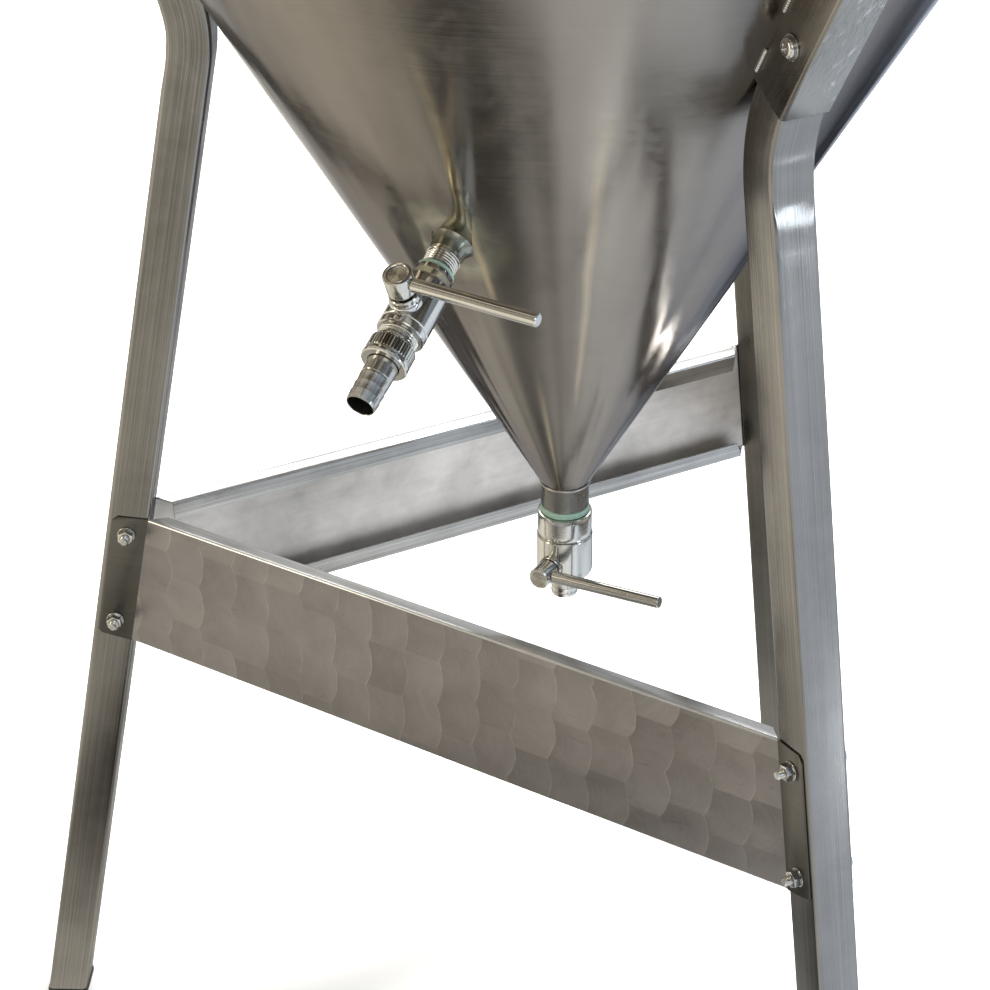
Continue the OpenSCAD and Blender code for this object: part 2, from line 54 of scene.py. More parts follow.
def T(x, y, z):
    return Matrix.Translation((x, y, z))


def R(deg, axis):
    return Matrix.Rotation(radians(deg), 4, axis)


def hi(n):
    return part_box(n)[1] * 1000


def lo(n):
    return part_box(n)[0] * 1000


JOINT = {j["name"]: j for j in frame["joints"]}
TUBE, WALL = 30.0, 1.5
cyl_lo, cyl_hi = lo("cylinder_shell"), hi("cylinder_shell")
VR = (cyl_hi.x - cyl_lo.x) / 2
CONE_TOP, RIM = cyl_lo.z, (lo("rim_bead").z + hi("rim_bead").z) / 2
APEX = CONE_TOP - VR / tan(radians(30))
NECK_R, NECK_TOP = 17.0, hi("outlet_neck").z
NECK_LOW = lo("outlet_neck").z + 17
RACK_P = Vector(JOINT["racking_valve_turn"]["pos_m"]) * 1000
RACK_AZ, RACK_TILT, RACK_BALL = -114.5, 25.0, 58.2
DUMP_AZ, DUMP_BALL = -118.0, 43.5
AX = Vector(JOINT["racking_nut_turn"]["axis"])
RACK = T(*(RACK_P - AX * RACK_BALL)) @ R(RACK_AZ, "Z") @ R(90 + RACK_TILT, "Y")
DUMP = T(0, 0, NECK_LOW) @ R(DUMP_AZ, "Z") @ R(180, "Y")
LEG_AZ = {"a": 180.0, "b": -60.0, "c": 60.0}
NUT_SIDE = {"a": 1, "b": -1, "c": 1}
SPLAY, BEND_R, FOOT_R, PAD = 11.4, 96.0, 400.0, 4.0
ST = tan(radians(SPLAY))
KNEE_Z = (FOOT_R + APEX * tan(radians(30)) - (TUBE / 2 + .3) / cos(radians(30))) / (tan(radians(30)) + ST)
KNEE_X = FOOT_R - KNEE_Z * ST
BRACE_Z = lo("brace_ab").z + (TUBE / 2 - 1.3) * sin(radians(SPLAY))
BRACE_H, BRACE_T = 104.0, 1.2
BRACE_X = FOOT_R - BRACE_Z * ST
# a bracket's start along the cone, length, sheet and half width
BR_S, BR_L, BR_T = 470.0, 120.0, 1.5
BR_W = TUBE / 2 + .2 + BR_T
THREAD = 1.814  # pitch of the valves' pipe thread


def on_cone(az):
    return R(az, "Z") @ T(0, 0, APEX) @ R(30, "Y")


# mesh builder
class Build:
    def __init__(self, M=None):
        self.v, self.f, self.uv, self.M = [], [], [], M or Matrix.Identity(4)

    def at(self, M):
        self.M = M
        return self

    def vert(self, p, uv=(0, 0)):
        self.v.append(self.M @ Vector(p))
        self.uv.append(uv)
        return len(self.v) - 1

    def face(self, *i):
        self.f.append(tuple(i))

    def loft(self, rings, close_end=False, caps=False):
        n = len(rings[0])
        for a, b in list(zip(rings, rings[1:])) + ([(rings[-1], rings[0])] if close_end else []):
            for k in range(n):
                m = (k + 1) % n
                q = [a[k], a[m], b[m], b[k]]
                q = [x for i, x in enumerate(q) if x not in q[:i]]
                if len(q) > 2:
                    self.face(*q)
        if caps:
            self.face(*rings[0])
            self.face(*reversed(rings[-1]))

    def lathe(self, prof, seg=96, loop=True, rf=None, zf=None):
        """turns a profile of (radius, z) about local Z; loop joins its last point to its first"""
        rings, s, last = [], 0.0, None
        for i, (r, z) in enumerate(prof):
            if last:
                s += hypot(r - last[0], z - last[1])
            last = (r, z)
            if r < 1e-6:
                c = self.vert((0, 0, z), (0, s / 1000))
                rings.append([c] * seg)
                continue
            ring = []
            for k in range(seg):
                t = 2 * pi * k / seg
                rr = rf(r, z, t, i) if rf else r
                zz = zf(rr, z, t, i) if zf else z
                ring.append(self.vert((rr * cos(t), rr * sin(t), zz), (t * r / 1000, s / 1000)))
            rings.append(ring)
        self.loft(rings, close_end=loop)

    def rod(self, pts, r, seg, rf=None, closed=False):
        """a round bar along points; rf(i, angle) scales its radius"""
        pts = [Vector(p) for p in pts]
        n, rings, up, s = len(pts), [], None, 0.0
        for i, p in enumerate(pts):
            a = pts[(i - 1) % n] if closed or i else p
            b = pts[(i + 1) % n] if closed or i < n - 1 else p
            d = (b - a).normalized()
            if up is None:
                up = d.orthogonal().normalized()
            up = (up - d * up.dot(d)).normalized()
            w = d.cross(up)
            if i:
                s += (p - pts[i - 1]).length
            ring = []
            for k in range(seg):
                t = 2 * pi * k / seg
                q = r * (rf(i, t) if rf else 1)
                ring.append(self.vert(p + up * cos(t) * q + w * sin(t) * q, (s / 1000, t * r / 1000)))
            rings.append(ring)
        self.loft(rings, close_end=closed, caps=not closed)

    def mesh(self, name, along=True):
        me = bpy.data.meshes.new(name)
        me.from_pydata([MM @ v for v in self.v], [], self.f)
        if along:
            layer = me.uv_layers.new(name="along")
            for loop in me.loops:
                layer.data[loop.index].uv = self.uv[loop.vertex_index]
        bm = bmesh.new()
        bm.from_mesh(me)
        bmesh.ops.recalc_face_normals(bm, faces=bm.faces)
        bm.to_mesh(me)
        bm.free()
        return me

    def done(self, name, body, slot, replaces=None, mat=None, sharp=32):
        """makes the piece; mat is its material where that isn't its slot's own"""
        me = self.mesh(name)
        me.shade_smooth()
        me.set_sharp_from_angle(angle=radians(sharp))
        ob = in_scene(name, me)
        me.materials.append(MATS[mat or slot])
        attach(ob, body)
        if replaces:
            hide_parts(replaces)
        return ob


def in_scene(name, data):
    ob = bpy.data.objects.new(name, data)
    bpy.context.scene.collection.objects.link(ob)
    return ob


def paint(ob, mats, pick):
    """adds materials to a piece, and gives each face the one that pick(centre in mm, normal) numbers"""
    for m in mats:
        ob.data.materials.append(MATS[m])
    for p in ob.data.polygons:
        p.material_index = int(pick(p.center * 1000, p.normal))


def smooth(a, b, x):
    t = max(0.0, min(1.0, (x - a) / (b - a)))
    return t * t * (3 - 2 * t)


def gauss(x, w):
    return exp(-(x / w) ** 2)


def rounded(pts, r, n=6):
    """rounds the corners of an open 3-D path"""
    pts = [Vector(p) for p in pts]
    out = [pts[0]]
    for a, b, c in zip(pts, pts[1:], pts[2:]):
        u, v = (a - b).normalized(), (c - b).normalized()
        ang = u.angle(v)
        d = r / tan(ang / 2)
        cen = b + (u + v).normalized() * (r / sin(ang / 2))
        p, q = b + u * d - cen, b + v * d - cen
        for k in range(n + 1):
            out.append(cen + p.normalized().slerp(q.normalized(), k / n) * r)
    out.append(pts[-1])
    return out


def round_rect(w, h, r, n=5):
    return [(sx * (w / 2 - r) + r * cos(a), sy * (h / 2 - r) + r * sin(a))
            for sx, sy, q in ((1, 1, 0), (-1, 1, 1), (-1, -1, 2), (1, -1, 3))
            for a in [pi / 2 * (q + k / n) for k in range(n + 1)]]


# materials
class Val:
    """a node's output; arithmetic on it adds Math nodes"""
    def __init__(self, nodes, sock):
        self.n, self.sock = nodes, sock

    def ramp(self, a, b, to_a=0.0, to_b=1.0):
        return self.n.out("MapRange", {"Value": self, "From Min": a, "From Max": b, "To Min": to_a, "To Max": to_b})


for sign, op in (("add", "ADD"), ("sub", "SUBTRACT"), ("mul", "MULTIPLY"), ("truediv", "DIVIDE")):
    setattr(Val, "__%s__" % sign, lambda a, b, op=op: a.n.math(op, a, b))
    setattr(Val, "__r%s__" % sign, lambda a, b, op=op: a.n.math(op, b, a))


class Nodes:
    """the nodes of a material or a world, with short ways to add to them"""
    def __init__(self, owner, end="OutputMaterial", shader="BsdfPrincipled"):
        owner.use_nodes = True
        self.owner, self.t = owner, owner.node_tree
        self.t.nodes.clear()
        self.end, self.b = self.new(end), self.new(shader)
        self.put(self.end.inputs[0], self.b.outputs[0])

    def put(self, sock, val):
        val = val.sock if isinstance(val, Val) else val
        if hasattr(val, "is_linked"):
            self.t.links.new(val, sock)
        elif val is not None:
            sock.default_value = val

    def new(self, kind, ins=(), **props):
        n = self.t.nodes.new("ShaderNode" + kind)
        for k, v in props.items():
            setattr(n, k, v)
        for k, v in (ins.items() if isinstance(ins, dict) else enumerate(ins)):
            self.put(n.inputs[k], v)
        return n

    def out(self, kind, ins=(), pick=0, **props):
        return Val(self, self.new(kind, ins, **props).outputs[pick])

    def surface(self, **ins):
        """sets the main shader's inputs, an underscore standing for a space"""
        for k, v in ins.items():
            self.put(self.b.inputs[k.replace("_", " ")], v)

    def math(self, op, *ins):
        return self.out("Math", ins, operation=op)

    def vmath(self, op, *ins):
        if op == "SCALE":
            ins = {0: ins[0], "Scale": ins[1]}
        return self.out("VectorMath", ins, "Value" if op in ("DOT_PRODUCT", "LENGTH") else 0, operation=op)

    def ob(self):
        return self.out("TexCoord", pick="Object")

    def uvs(self):
        return self.out("UVMap", uv_map="along")

    def xyz(self, vec):
        return [Val(self, s) for s in self.new("SeparateXYZ", (vec,)).outputs]

    def noise(self, vec, scale=1.0, detail=2.0, rough=.5, dist=0.0):
        return self.out("TexNoise", {"Vector": vec, "Scale": scale, "Detail": detail, "Roughness": rough,
                                     "Distortion": dist})

    def cloud(self, vec, s, detail=2.0, rough=.5, dist=0.0, loc=(0, 0, 0), rot=(0, 0, 0)):
        """noise scaled by s, the same or its own amount along each axis"""
        s = s if isinstance(s, tuple) else (s, s, s)
        return self.noise(self.out("Mapping", {"Vector": vec, "Scale": s, "Location": loc, "Rotation": rot}),
                          1, detail, rough, dist)

    def mix(self, f, a, b, **props):
        return self.out("Mix", {0: f, 6: a, 7: b}, 2, data_type="RGBA", **props)

    def bump(self, h, dist, strength=1.0, normal=None):
        return self.out("Bump", {"Height": h, "Distance": dist, "Strength": strength, "Normal": normal})


def metal(name, col, rough, grain, blotch, line, aniso=0.0, uv=False, wave=0.0, grain_bump=4e-6, tint=None,
          fingers=.5, edge=(.62, .63, .66), metallic=1.0):
    """stainless steel: grain stretches noise along the brushing; wave is a slow unevenness of the sheet"""
    n = Nodes(bpy.data.materials.new(name))
    o = n.ob()
    p = n.uvs() if uv else o
    big, mid = n.cloud(o, 9, 4, .6), n.cloud(o, 34, 5, .65, .6)
    lines = n.cloud(p, grain, 3, .6) * .6 + n.cloud(p, tuple(x * 3.1 for x in grain)) * .4
    shade = big.ramp(.3, .7, -blotch, blotch) + lines.ramp(.35, .65, -line, line)
    shade = shade + mid.ramp(.35, .7, -.4 * blotch, .4 * blotch) + 1.0
    base = n.vmath("SCALE", col, shade)
    if tint:
        base = tint(n, base, o)
    smudge = n.cloud(o, 14, 6, .7, 1.2, (3, 1, 2)).ramp(.55, .72) * (.10 * fingers)
    sheet = n.bump(n.cloud(o, (7, 7, 4), 1.5), wave) if wave else None
    n.surface(Base_Color=base, Metallic=metallic, Specular_Tint=(*edge, 1), Normal=n.bump(lines, grain_bump * 10, .7,
                                                                                          sheet),
              Roughness=mid.ramp(.35, .65, *rough) + lines.ramp(.3, .7, -.04, .06) + smudge)
    if aniso:
        way = {"direction_type": "UV_MAP", "uv_map": "along"} if uv else {"direction_type": "RADIAL", "axis": "Z"}
        n.surface(Anisotropic=aniso, Anisotropic_Rotation=.25, Tangent=n.out("Tangent", **way))
    return n.owner


def plastic(name, col, rough, amount=.06, bump=0.0, scale=220, clear=0.0):
    n = Nodes(bpy.data.materials.new(name))
    o = n.ob()
    n.surface(Base_Color=n.vmath("SCALE", col, n.noise(o, scale, 4, .6).ramp(.3, .7, 1 - amount, 1 + amount)),
              Roughness=n.noise(o, 60, 3).ramp(.3, .7, rough * .85, rough * 1.15), Specular_IOR_Level=.5)
    if clear:
        n.surface(Transmission_Weight=clear, IOR=1.35)
    if bump:
        n.surface(Normal=n.bump(n.noise(o, 900, 2), bump))
    return n.owner


def cone_heat_tint_and_painted_glints(n, base, o):
    """a heat mark round the racking nipple, the cone darker towards the neck, and painted highlight streaks: narrow
    golden bands at given compass angles that stand in for reflected light
    """
    d = n.vmath("LENGTH", n.vmath("SUBTRACT", o, tuple(MM @ RACK.translation)))
    d = d + n.noise(o, 60, 4).ramp(.3, .7, -.006, .006)
    base = n.mix(d.ramp(.012, .022) * d.ramp(.040, .024) * .45, base, (.62, .62, .48, 1))
    x, y, z = n.xyz(o)
    # the cone darker towards the neck
    low = (z + n.noise(o, 80, 4).ramp(.3, .7, -.005, .005)).ramp((APEX + 75) / 1000, (APEX + 38) / 1000)
    base = n.mix(low * .40, base, (.30, .27, .24, 1))
    az = n.math("ARCTAN2", y, x) + n.cloud(o, (5, 5, 9), 3).ramp(.3, .7, -.010, .010)
    # painted highlight: each row is a golden streak at a compass angle, its half width, the heights it runs between,
    # and its strength
    for at, wide, z0, z1, amount in ((-108.4, 1.5, .690, .80, .75), (-100.5, 2.2, .470, .53, .80),
                                     (-84.0, 1.6, .60, .76, .30)):
        line = n.math("ABSOLUTE", az - radians(at)).ramp(radians(wide), 0)
        line = line * (z.ramp(z0 - .03, z0) * z.ramp(z1 + .09, z1))
        base = n.mix(line * amount, base, (.70, .60, .42, 1))
    return base


def turned(name, col):
    """engine turning: columns of overlapping brushed discs, each column laid over the one on its right"""
    n = Nodes(bpy.data.materials.new(name))
    uvs, o = n.uvs(), n.ob()
    u, v, _ = n.xyz(uvs)
    u = u + n.cloud(uvs, (30, 30, 1)).ramp(.3, .7, -.0015, .0015)
    pitch, row_h, rad = .0290, .034, .0342
    here = n.math("FLOOR", u / pitch)
    got = None
    for step in (2, 1, 0, -1):
        col_no = here + float(step)
        vv = v - (n.out("TexWhiteNoise", {"W": col_no}, noise_dimensions="1D") - .5) * row_h
        row = n.math("ROUND", vv / row_h)
        dx, dy = u - col_no * pitch, vv - row * row_h
        d = n.math("SQRT", dx * dx + dy * dy)
        inside = n.math("LESS_THAN", d, rad)
        vals = (dx, dy, d, n.out("TexWhiteNoise", {"Vector": n.out("CombineXYZ", (col_no, row, 0.0))}))
        got = vals if got is None else [inside * new + (1.0 - inside) * old for old, new in zip(got, vals)]
    dx, dy, dist, tone = got
    edge = dist.ramp(rad - .0016, rad - .0002) * n.cloud(uvs, (60, 60, 1), loc=(5, 1, 0)).ramp(.42, .6, .05, 1)
    rings = n.noise(n.out("CombineXYZ", (dist * 1100.0, n.math("ARCTAN2", dy, dx) * .4, tone)), 1, 3, .7)
    blot = n.cloud(o, 20, 5, .68, .6)
    dark = n.cloud(uvs, (45, 190, 1), 3, .6, 1.5, (3, 7, 0)).ramp(.62, .76)
    spots = n.cloud(uvs, (70, 80, 1), 4, .7, 0, (1, 4, 0)).ramp(.60, .78)
    # painted highlight and sheen: a lighter line along each disc's rim (edge), and each disc lighter towards its right
    # side (dx)
    shade = rings.ramp(.35, .65, -.045, .045) + blot.ramp(.3, .7, -.16, .13) + edge * .24 + (tone - .5) * .24
    shade = shade + dx / rad * .13 + 1.0 - dark * .20 - spots * .12
    along = n.out("Tangent", direction_type="UV_MAP", uv_map="along")
    across = n.vmath("CROSS_PRODUCT", n.out("NewGeometry", pick="Normal"), along)
    inv = 1.0 / n.math("MAXIMUM", dist, .0005)
    n.surface(Base_Color=n.vmath("SCALE", col, shade), Metallic=1.0, Anisotropic=.6,
              Roughness=rings.ramp(.3, .7, .27, .36) + blot * .10,
              Tangent=n.vmath("ADD", n.vmath("SCALE", along, dx * inv), n.vmath("SCALE", across, dy * inv)),
              Normal=n.bump(rings + edge * .8, 2.4e-5, .9))
    return n.owner


def sanded(name, col):
    """a face gone over by hand with a flap wheel: short scratches every way"""
    n = Nodes(bpy.data.materials.new(name))
    uvs, o, g = n.uvs(), n.ob(), None
    for k in range(4):
        s = n.cloud(uvs, (60 + 20 * k, 1500 - 180 * k, 1), 3, .6, .4, (k, 2 * k, 0), (0, 0, .5 + k * .83))
        s = (s - .5) * n.cloud(o, 45, loc=(k, 5, 2)).ramp(.42, .62)
        g = s if g is None else g + s
    hit = n.cloud(uvs, (55, 85, 1), 3, .6, .8).ramp(.60, .70)
    n.surface(Base_Color=n.vmath("SCALE", col, 1.0 + (g * 1.5 + hit * .8)), Metallic=1.0, Roughness=.30 + g * .5,
              Normal=n.bump(g, 6e-5, .8))
    return n.owner


# name, colour, roughness from and to, grain, blotches, grain lines, anisotropy, grain along the piece's own length
METALS = (
    ("vessel_sheet", (.275, .252, .225), (.12, .19), (1.2, 1.2, 1300), .07, .035, .70, False,
     {"wave": .0030, "tint": cone_heat_tint_and_painted_glints, "fingers": .35, "edge": (.42, .43, .47)}),
    ("neck_steel", (.245, .237, .218), (.20, .32), (3, 3, 1500), .16, .12, .5, False, {}),
    ("leg_tube", (.27, .258, .242), (.15, .23), (2.2, 700, 1), .12, .24, .5, True, {"grain_bump": 6e-6}),
    # painted shade: a darker copy of the leg steel for the legs' faces turned to the vessel's axis
    ("leg_inner_painted_shade", (.15, .138, .118), (.26, .36), (2.2, 500, 1), .14, .15, .3, True, {}),
    ("bracket_sheet", (.26, .24, .215), (.24, .34), (3, 300, 1), .10, .07, .3, True, {}),
    ("brace_inside", (.57, .55, .53), (.34, .46), (5, 60, 5), .30, .08, 0, True, {"metallic": .35}),
    # painted light and shade: the brace's fold, lip and tab steels are copies of one sheet, lighter for the folds and
    # flanges, darker for the lips and darker still for the end tabs
    ("brace_fold_painted_light", (.66, .66, .65), (.10, .17), (3, 200, 3), .12, .12, .3, True, {"wave": .0010, "metallic": .60}),
    ("brace_lip", (.37, .365, .35), (.16, .24), (3, 330, 3), .16, .30, .3, True, {"wave": .0006}),
    ("brace_tab", (.125, .12, .11), (.26, .36), (3, 300, 3), .12, .10, .3, True, {}),
    ("bright_steel", (.58, .57, .55), (.12, .20), (40, 40, 40), .06, .05, 0, False, {}),
    ("fastener_steel", (.60, .59, .56), (.14, .24), (120, 120, 120), .14, .10, 0, False, {}),
    ("weld", (.56, .545, .51), (.20, .34), (200, 200, 200), .22, .10, 0, False, {}),
    ("nipple_fillet", (.27, .27, .22), (.22, .32), (120, 120, 120), .20, .06, 0, False, {}),
    ("valve_chrome", (.60, .59, .55), (.09, .15), (1, 700, 1), .06, .06, .45, True, {"fingers": .9,
                                                                                     "grain_bump": 2e-6}),
    ("hose_tail_steel", (.52, .51, .48), (.17, .25), (1, 900, 1), .06, .06, .5, True, {}),
    # painted shade for the knurl's grooves
    ("knurl_groove_painted_shade", (.19, .175, .15), (.30, .40), (300, 300, 300), .15, .10, 0, False, {}),
    ("hub_face", (.52, .50, .44), (.20, .30), (1, 2500, 1), .08, .16, .75, True, {"grain_bump": 8e-6}),
)
# name, colour, roughness, mottling and, where it has any, bump
PLASTICS = (
    ("white_seal", (.80, .80, .77), .5, .06), ("black_rubber", (.022, .022, .022), .55, .25, 5e-5),
    ("foot_rubber", (.028, .028, .028), .6, .25, 6e-5), ("red_plastic", (.42, .018, .015), .30, .05),
    ("float_plastic", (.72, .75, .76), .32, .03), ("seal_green", (.40, .60, .50), .42, .16, 2e-4, 260),
    ("clear_plastic", (.93, .96, .97), .06, .01, 0, 220, .96),
)
MATS = {row[0]: metal(*row[:-1], **row[-1]) for row in METALS}
MATS.update({row[0]: plastic(*row) for row in PLASTICS})
MATS["bracket_face"] = sanded("bracket_face", (.285, .275, .255))
MATS["engine_turned_sheet"] = turned("engine_turned_sheet", (.222, .208, .203))


# vessel
def bead_ring(b, r, z, rad, pitch=2.1, seg=12, M=None):
    n = int(2 * pi * r / .7)
    pts = [(M or Matrix.Identity(4)) @ Vector((r * cos(2 * pi * k / n), r * sin(2 * pi * k / n), z)) for k in range(n)]
    ph = rnd.random() * 9
    b.rod(pts, rad, seg, lambda i, t: 1 + .09 * sin(2 * pi * i * .7 / pitch + .6 * sin(t)) +
          .05 * noise.noise((i * .09, ph, 0)), closed=True)


def bead_line(b, p, q, rad, pitch=2.2, seg=10, step=.55):
    p, q = Vector(p), Vector(q)
    n = max(6, int((q - p).length / step))
    ph = rnd.random() * 50
    b.rod([p.lerp(q, k / n) for k in range(n + 1)], rad, seg,
          lambda i, t: (1 + .10 * sin(2 * pi * i * step / pitch + .7 * sin(t)) + .08 * noise.noise((i * .2, ph, 1))) *
          (1 - .75 * gauss(min(i, n - i), 1.3)))


def pipe_thread(root, crest, z0, turns):
    return [(r, z0 + THREAD * k + dz) for k in range(turns)
            for r, dz in ((root, 0), (root, .25), (crest, .8), (crest, 1.0), (root, 1.6))]


def make_cone():
    b = Build()
    s0, s1 = NECK_R / sin(radians(30)), VR / sin(radians(30))
    az_n = radians(RACK_AZ)
    s_n = hypot(RACK_P.x - AX.x * RACK_BALL, RACK_P.y - AX.y * RACK_BALL) / sin(radians(30))
    seg, ns = 288, 96
    outer, inner = [], []
    for i in range(ns + 1):
        t = i / ns
        s = s0 + (s1 - s0) * t ** 1.25
        ro, ri = [], []
        for k in range(seg):
            a = 2 * pi * k / seg
            da = (a - az_n + pi) % (2 * pi) - pi
            du, dv = da * s * sin(radians(30)), s - s_n
            d = hypot(du, dv)
            # the sheet is pulled in round the nipple's weld, with a crease above and below it
            dent = -.60 * gauss(d - 24, 15) + .30 * gauss(d - 58, 22)
            dent -= .95 * gauss(du + 3, 8) * gauss(dv - 70, 62) - .55 * gauss(du - 14, 9) * gauss(dv - 66, 60)
            dent -= .35 * gauss(du + 14, 10) * gauss(dv + 45, 45)
            dent += .45 * noise.noise((2.2 * cos(a), 2.2 * sin(a), s / 170)) * smooth(s0, s0 + 90, s)
            dent += .16 * noise.noise((6 * cos(a), 6 * sin(a), s / 60)) * smooth(s0, s0 + 40, s)
            # flats left where the cone was rolled, running down to the neck
            flat = min(s, 330) / 600 * smooth(s0, s0 + 26, s) * (.3 + .7 * smooth(s1, s1 - 230, s))
            dent += flat * 3.6 * noise.noise((5.2 * cos(a), 5.2 * sin(a), 7 + s / 900))
            dent += flat * .75 * noise.noise((14 * cos(a), 14 * sin(a), 3 + s / 500))
            dent *= smooth(s1, s1 - 14, s) * smooth(s0 - 1, s0 + 8, s)
            r = s * sin(radians(30)) + dent * cos(radians(30))
            z = APEX + s * cos(radians(30)) - dent * sin(radians(30))
            ro.append(b.vert((r * cos(a), r * sin(a), z)))
            ri.append(b.vert(((r - 1.7) * cos(a), (r - 1.7) * sin(a), z)))
        outer.append(ro)
        inner.append(ri)
    b.loft(outer + inner[::-1], close_end=True)
    ob = b.done("cone_skin", SV, "vessel_sheet", "cone_shell", sharp=50)
    # the hole under the racking nipple
    cut = Build(RACK)
    cut.lathe([(0, -30), (10.5, -30), (10.5, 30), (0, 30)], 48, loop=False)
    tool = in_scene("cut", cut.mesh("cut", along=False))
    m = ob.modifiers.new("hole", "BOOLEAN")
    m.operation, m.solver, m.object = "DIFFERENCE", "EXACT", tool
    bpy.context.view_layer.update()
    dg = bpy.context.evaluated_depsgraph_get()
    cut_mesh = bpy.data.meshes.new_from_object(ob.evaluated_get(dg), depsgraph=dg)
    ob.modifiers.clear()
    ob.data = cut_mesh
    bpy.data.objects.remove(tool)


def make_vessel():
    make_cone()
    b = Build()
    zs = [CONE_TOP + (RIM - 4 - CONE_TOP) * i / 60 for i in range(61)]

    def wob(r, z, t, i):
        w = smooth(CONE_TOP, CONE_TOP + 30, z) * smooth(RIM, RIM - 40, z)
        return r + w * (.35 * noise.noise((2 * cos(t), 2 * sin(t), z / 190)) +
                        .12 * noise.noise((5 * cos(t), 5 * sin(t), z / 70)) - .25)
    b.lathe([(VR, z) for z in zs] + [(VR - 1.2, z) for z in zs[::-1]], 288, rf=wob)
    b.done("cylinder_skin", SV, "vessel_sheet", "cylinder_shell", sharp=50)
    # rolled rim
    b = Build()
    b.lathe([(VR - .6 + 4 * cos(t), RIM + 4 * sin(t)) for t in [2 * pi * k / 28 for k in range(28)]], 288)
    b.done("rim_roll", SV, "vessel_sheet", "rim_bead", sharp=60)
    # welds: cone to cylinder, cone to neck, nipple, the sheets' own seams
    b = Build()
    bead_ring(b, VR + .1, CONE_TOP, 1.25, seg=10)
    bead_ring(b, NECK_R + .25, NECK_TOP - .4, .85, 1.8)
    # the nipple's weld, dressed to a smooth fillet
    fillet = Build(RACK)
    fillet.lathe([(10.3, -4), (17.2, -4.6), (15.2, -2.0), (13.7, .2), (12.6, 2.0), (11.7, 4.2), (11.1, 6.4),
                  (10.7, 8.6),
                  (10.42, 10.4), (10.3, 10.4)], 96,
                 rf=lambda r, z, t,
                 i: r + (.25 * noise.noise((3 * cos(t), 3 * sin(t), z / 3)) if 10.6 < r < 16 else 0))
    fillet.done("nipple_fillet", SV, "weld", mat="nipple_fillet", sharp=60)
    seam = radians(96)
    bead_line(b, ((VR + .05) * cos(seam), (VR + .05) * sin(seam), CONE_TOP + 2),
              ((VR + .05) * cos(seam), (VR + .05) * sin(seam), RIM - 5), .7)
    q = on_cone(100)
    bead_line(b, q @ Vector((-.1, 0, 40)), q @ Vector((-.1, 0, 595)), .75)
    b.done("vessel_welds", SV, "weld", sharp=60)
    # outlet neck with its threaded end
    b = Build()
    prof = [(13, NECK_LOW - 17), (14.6, NECK_LOW - 17), (15.1, NECK_LOW - 16.2), (15.1, NECK_LOW - 5)]
    for k in range(4):
        z = NECK_LOW - 5 + k * 1.15
        prof += [(14.7, z), (15.9, z + .55)]
    prof += [(15.2, NECK_LOW - .3), (NECK_R - .25, NECK_LOW), (NECK_R, NECK_LOW + .4)]
    prof += [(NECK_R, NECK_LOW + 1 + k * (NECK_TOP - NECK_LOW - 1.3) / 14) for k in range(15)]
    prof += [(NECK_R - .1, NECK_TOP), (13, NECK_TOP)]
    b.lathe(prof, 128, rf=lambda r, z, t,
            i: r + (.10 * noise.noise((2 * cos(t), 2 * sin(t), z / 6)) if r > 16.9 else 0))
    b.done("neck_tube", SV, "neck_steel", "outlet_neck")
    # racking nipple
    b = Build(RACK)
    prof = [(7, -4), (10.1, -4), (10.4, -3.7), (10.4, 12.2), (10.9, 12.5), (11.1, 12.8), (11.1, 13.5), (10.8, 13.8)]
    prof += pipe_thread(9.75, 10.48, 13.9, 5) + [(9.9, 25), (9.9, 33.2), (9.6, 33.4), (7, 33.4)]
    b.lathe(prof, 112)
    b.done("nipple_threaded", SV, "valve_chrome", "racking_nipple")
    # side handles, welded on
    b, w = Build(), Build()
    hz = RIM - 150
    for s in (1, -1):
        path = rounded([(s * (VR + .3), 55, hz), (s * (VR + 34), 55, hz), (s * (VR + 34), -55, hz),
                        (s * (VR + .3), -55, hz)], 10, 10)
        x = sqrt((VR + .1) ** 2 - 55 ** 2)
        path[0].x = path[-1].x = s * (x - .2)
        b.rod(path, 5, 32)
        for y in (55, -55):
            bead_ring(w, 5.6, 0, 1.3, 1.9, M=T(s * (x + .3), y, hz) @ R(90, "Y") @ R(s * y / 55 * 10.6, "X"))
    b.done("side_handle_bars", SV, "bright_steel", "side_handles", sharp=60)
    w.done("side_handle_welds", SV, "weld", sharp=60)


# stand
def leg_stations():
    """centre line of a leg in its own plane: (x, z, angle of the path from upright, length), and where it wrinkles"""
    half, spl = radians(30), radians(SPLAY)
    bend = half + spl
    bt = BEND_R * tan(bend / 2)
    out = []
    x1, z1 = KNEE_X + bt * sin(spl), KNEE_Z - bt * cos(spl)
    cx, cz = x1 + BEND_R * cos(spl), z1 + BEND_R * sin(spl)
    low = (z1 - PAD) / cos(spl)
    below, n = 34, 80
    for d in [(low - below) * k / 24 for k in range(24)] + [low - below + k for k in range(below + 1)]:
        out.append((x1 + (low - d) * sin(spl), z1 - (low - d) * cos(spl), -spl, d))
    for k in range(1, n + 1):
        a = -spl + bend * k / n
        out.append((cx - BEND_R * cos(a), cz - BEND_R * sin(-a), a, low + BEND_R * bend * k / n))
    x2, z2 = KNEE_X + bt * sin(half), KNEE_Z + bt * cos(half)
    s2 = x2 * sin(half) + (z2 - APEX) * cos(half)
    up = BR_S + BR_L - 5 - s2
    for k in range(1, 9):
        d = up * k / 8
        out.append((x2 + d * sin(half), z2 + d * cos(half), half, low + BEND_R * bend + d))
    return out, low - below, below + .86 * BEND_R * bend


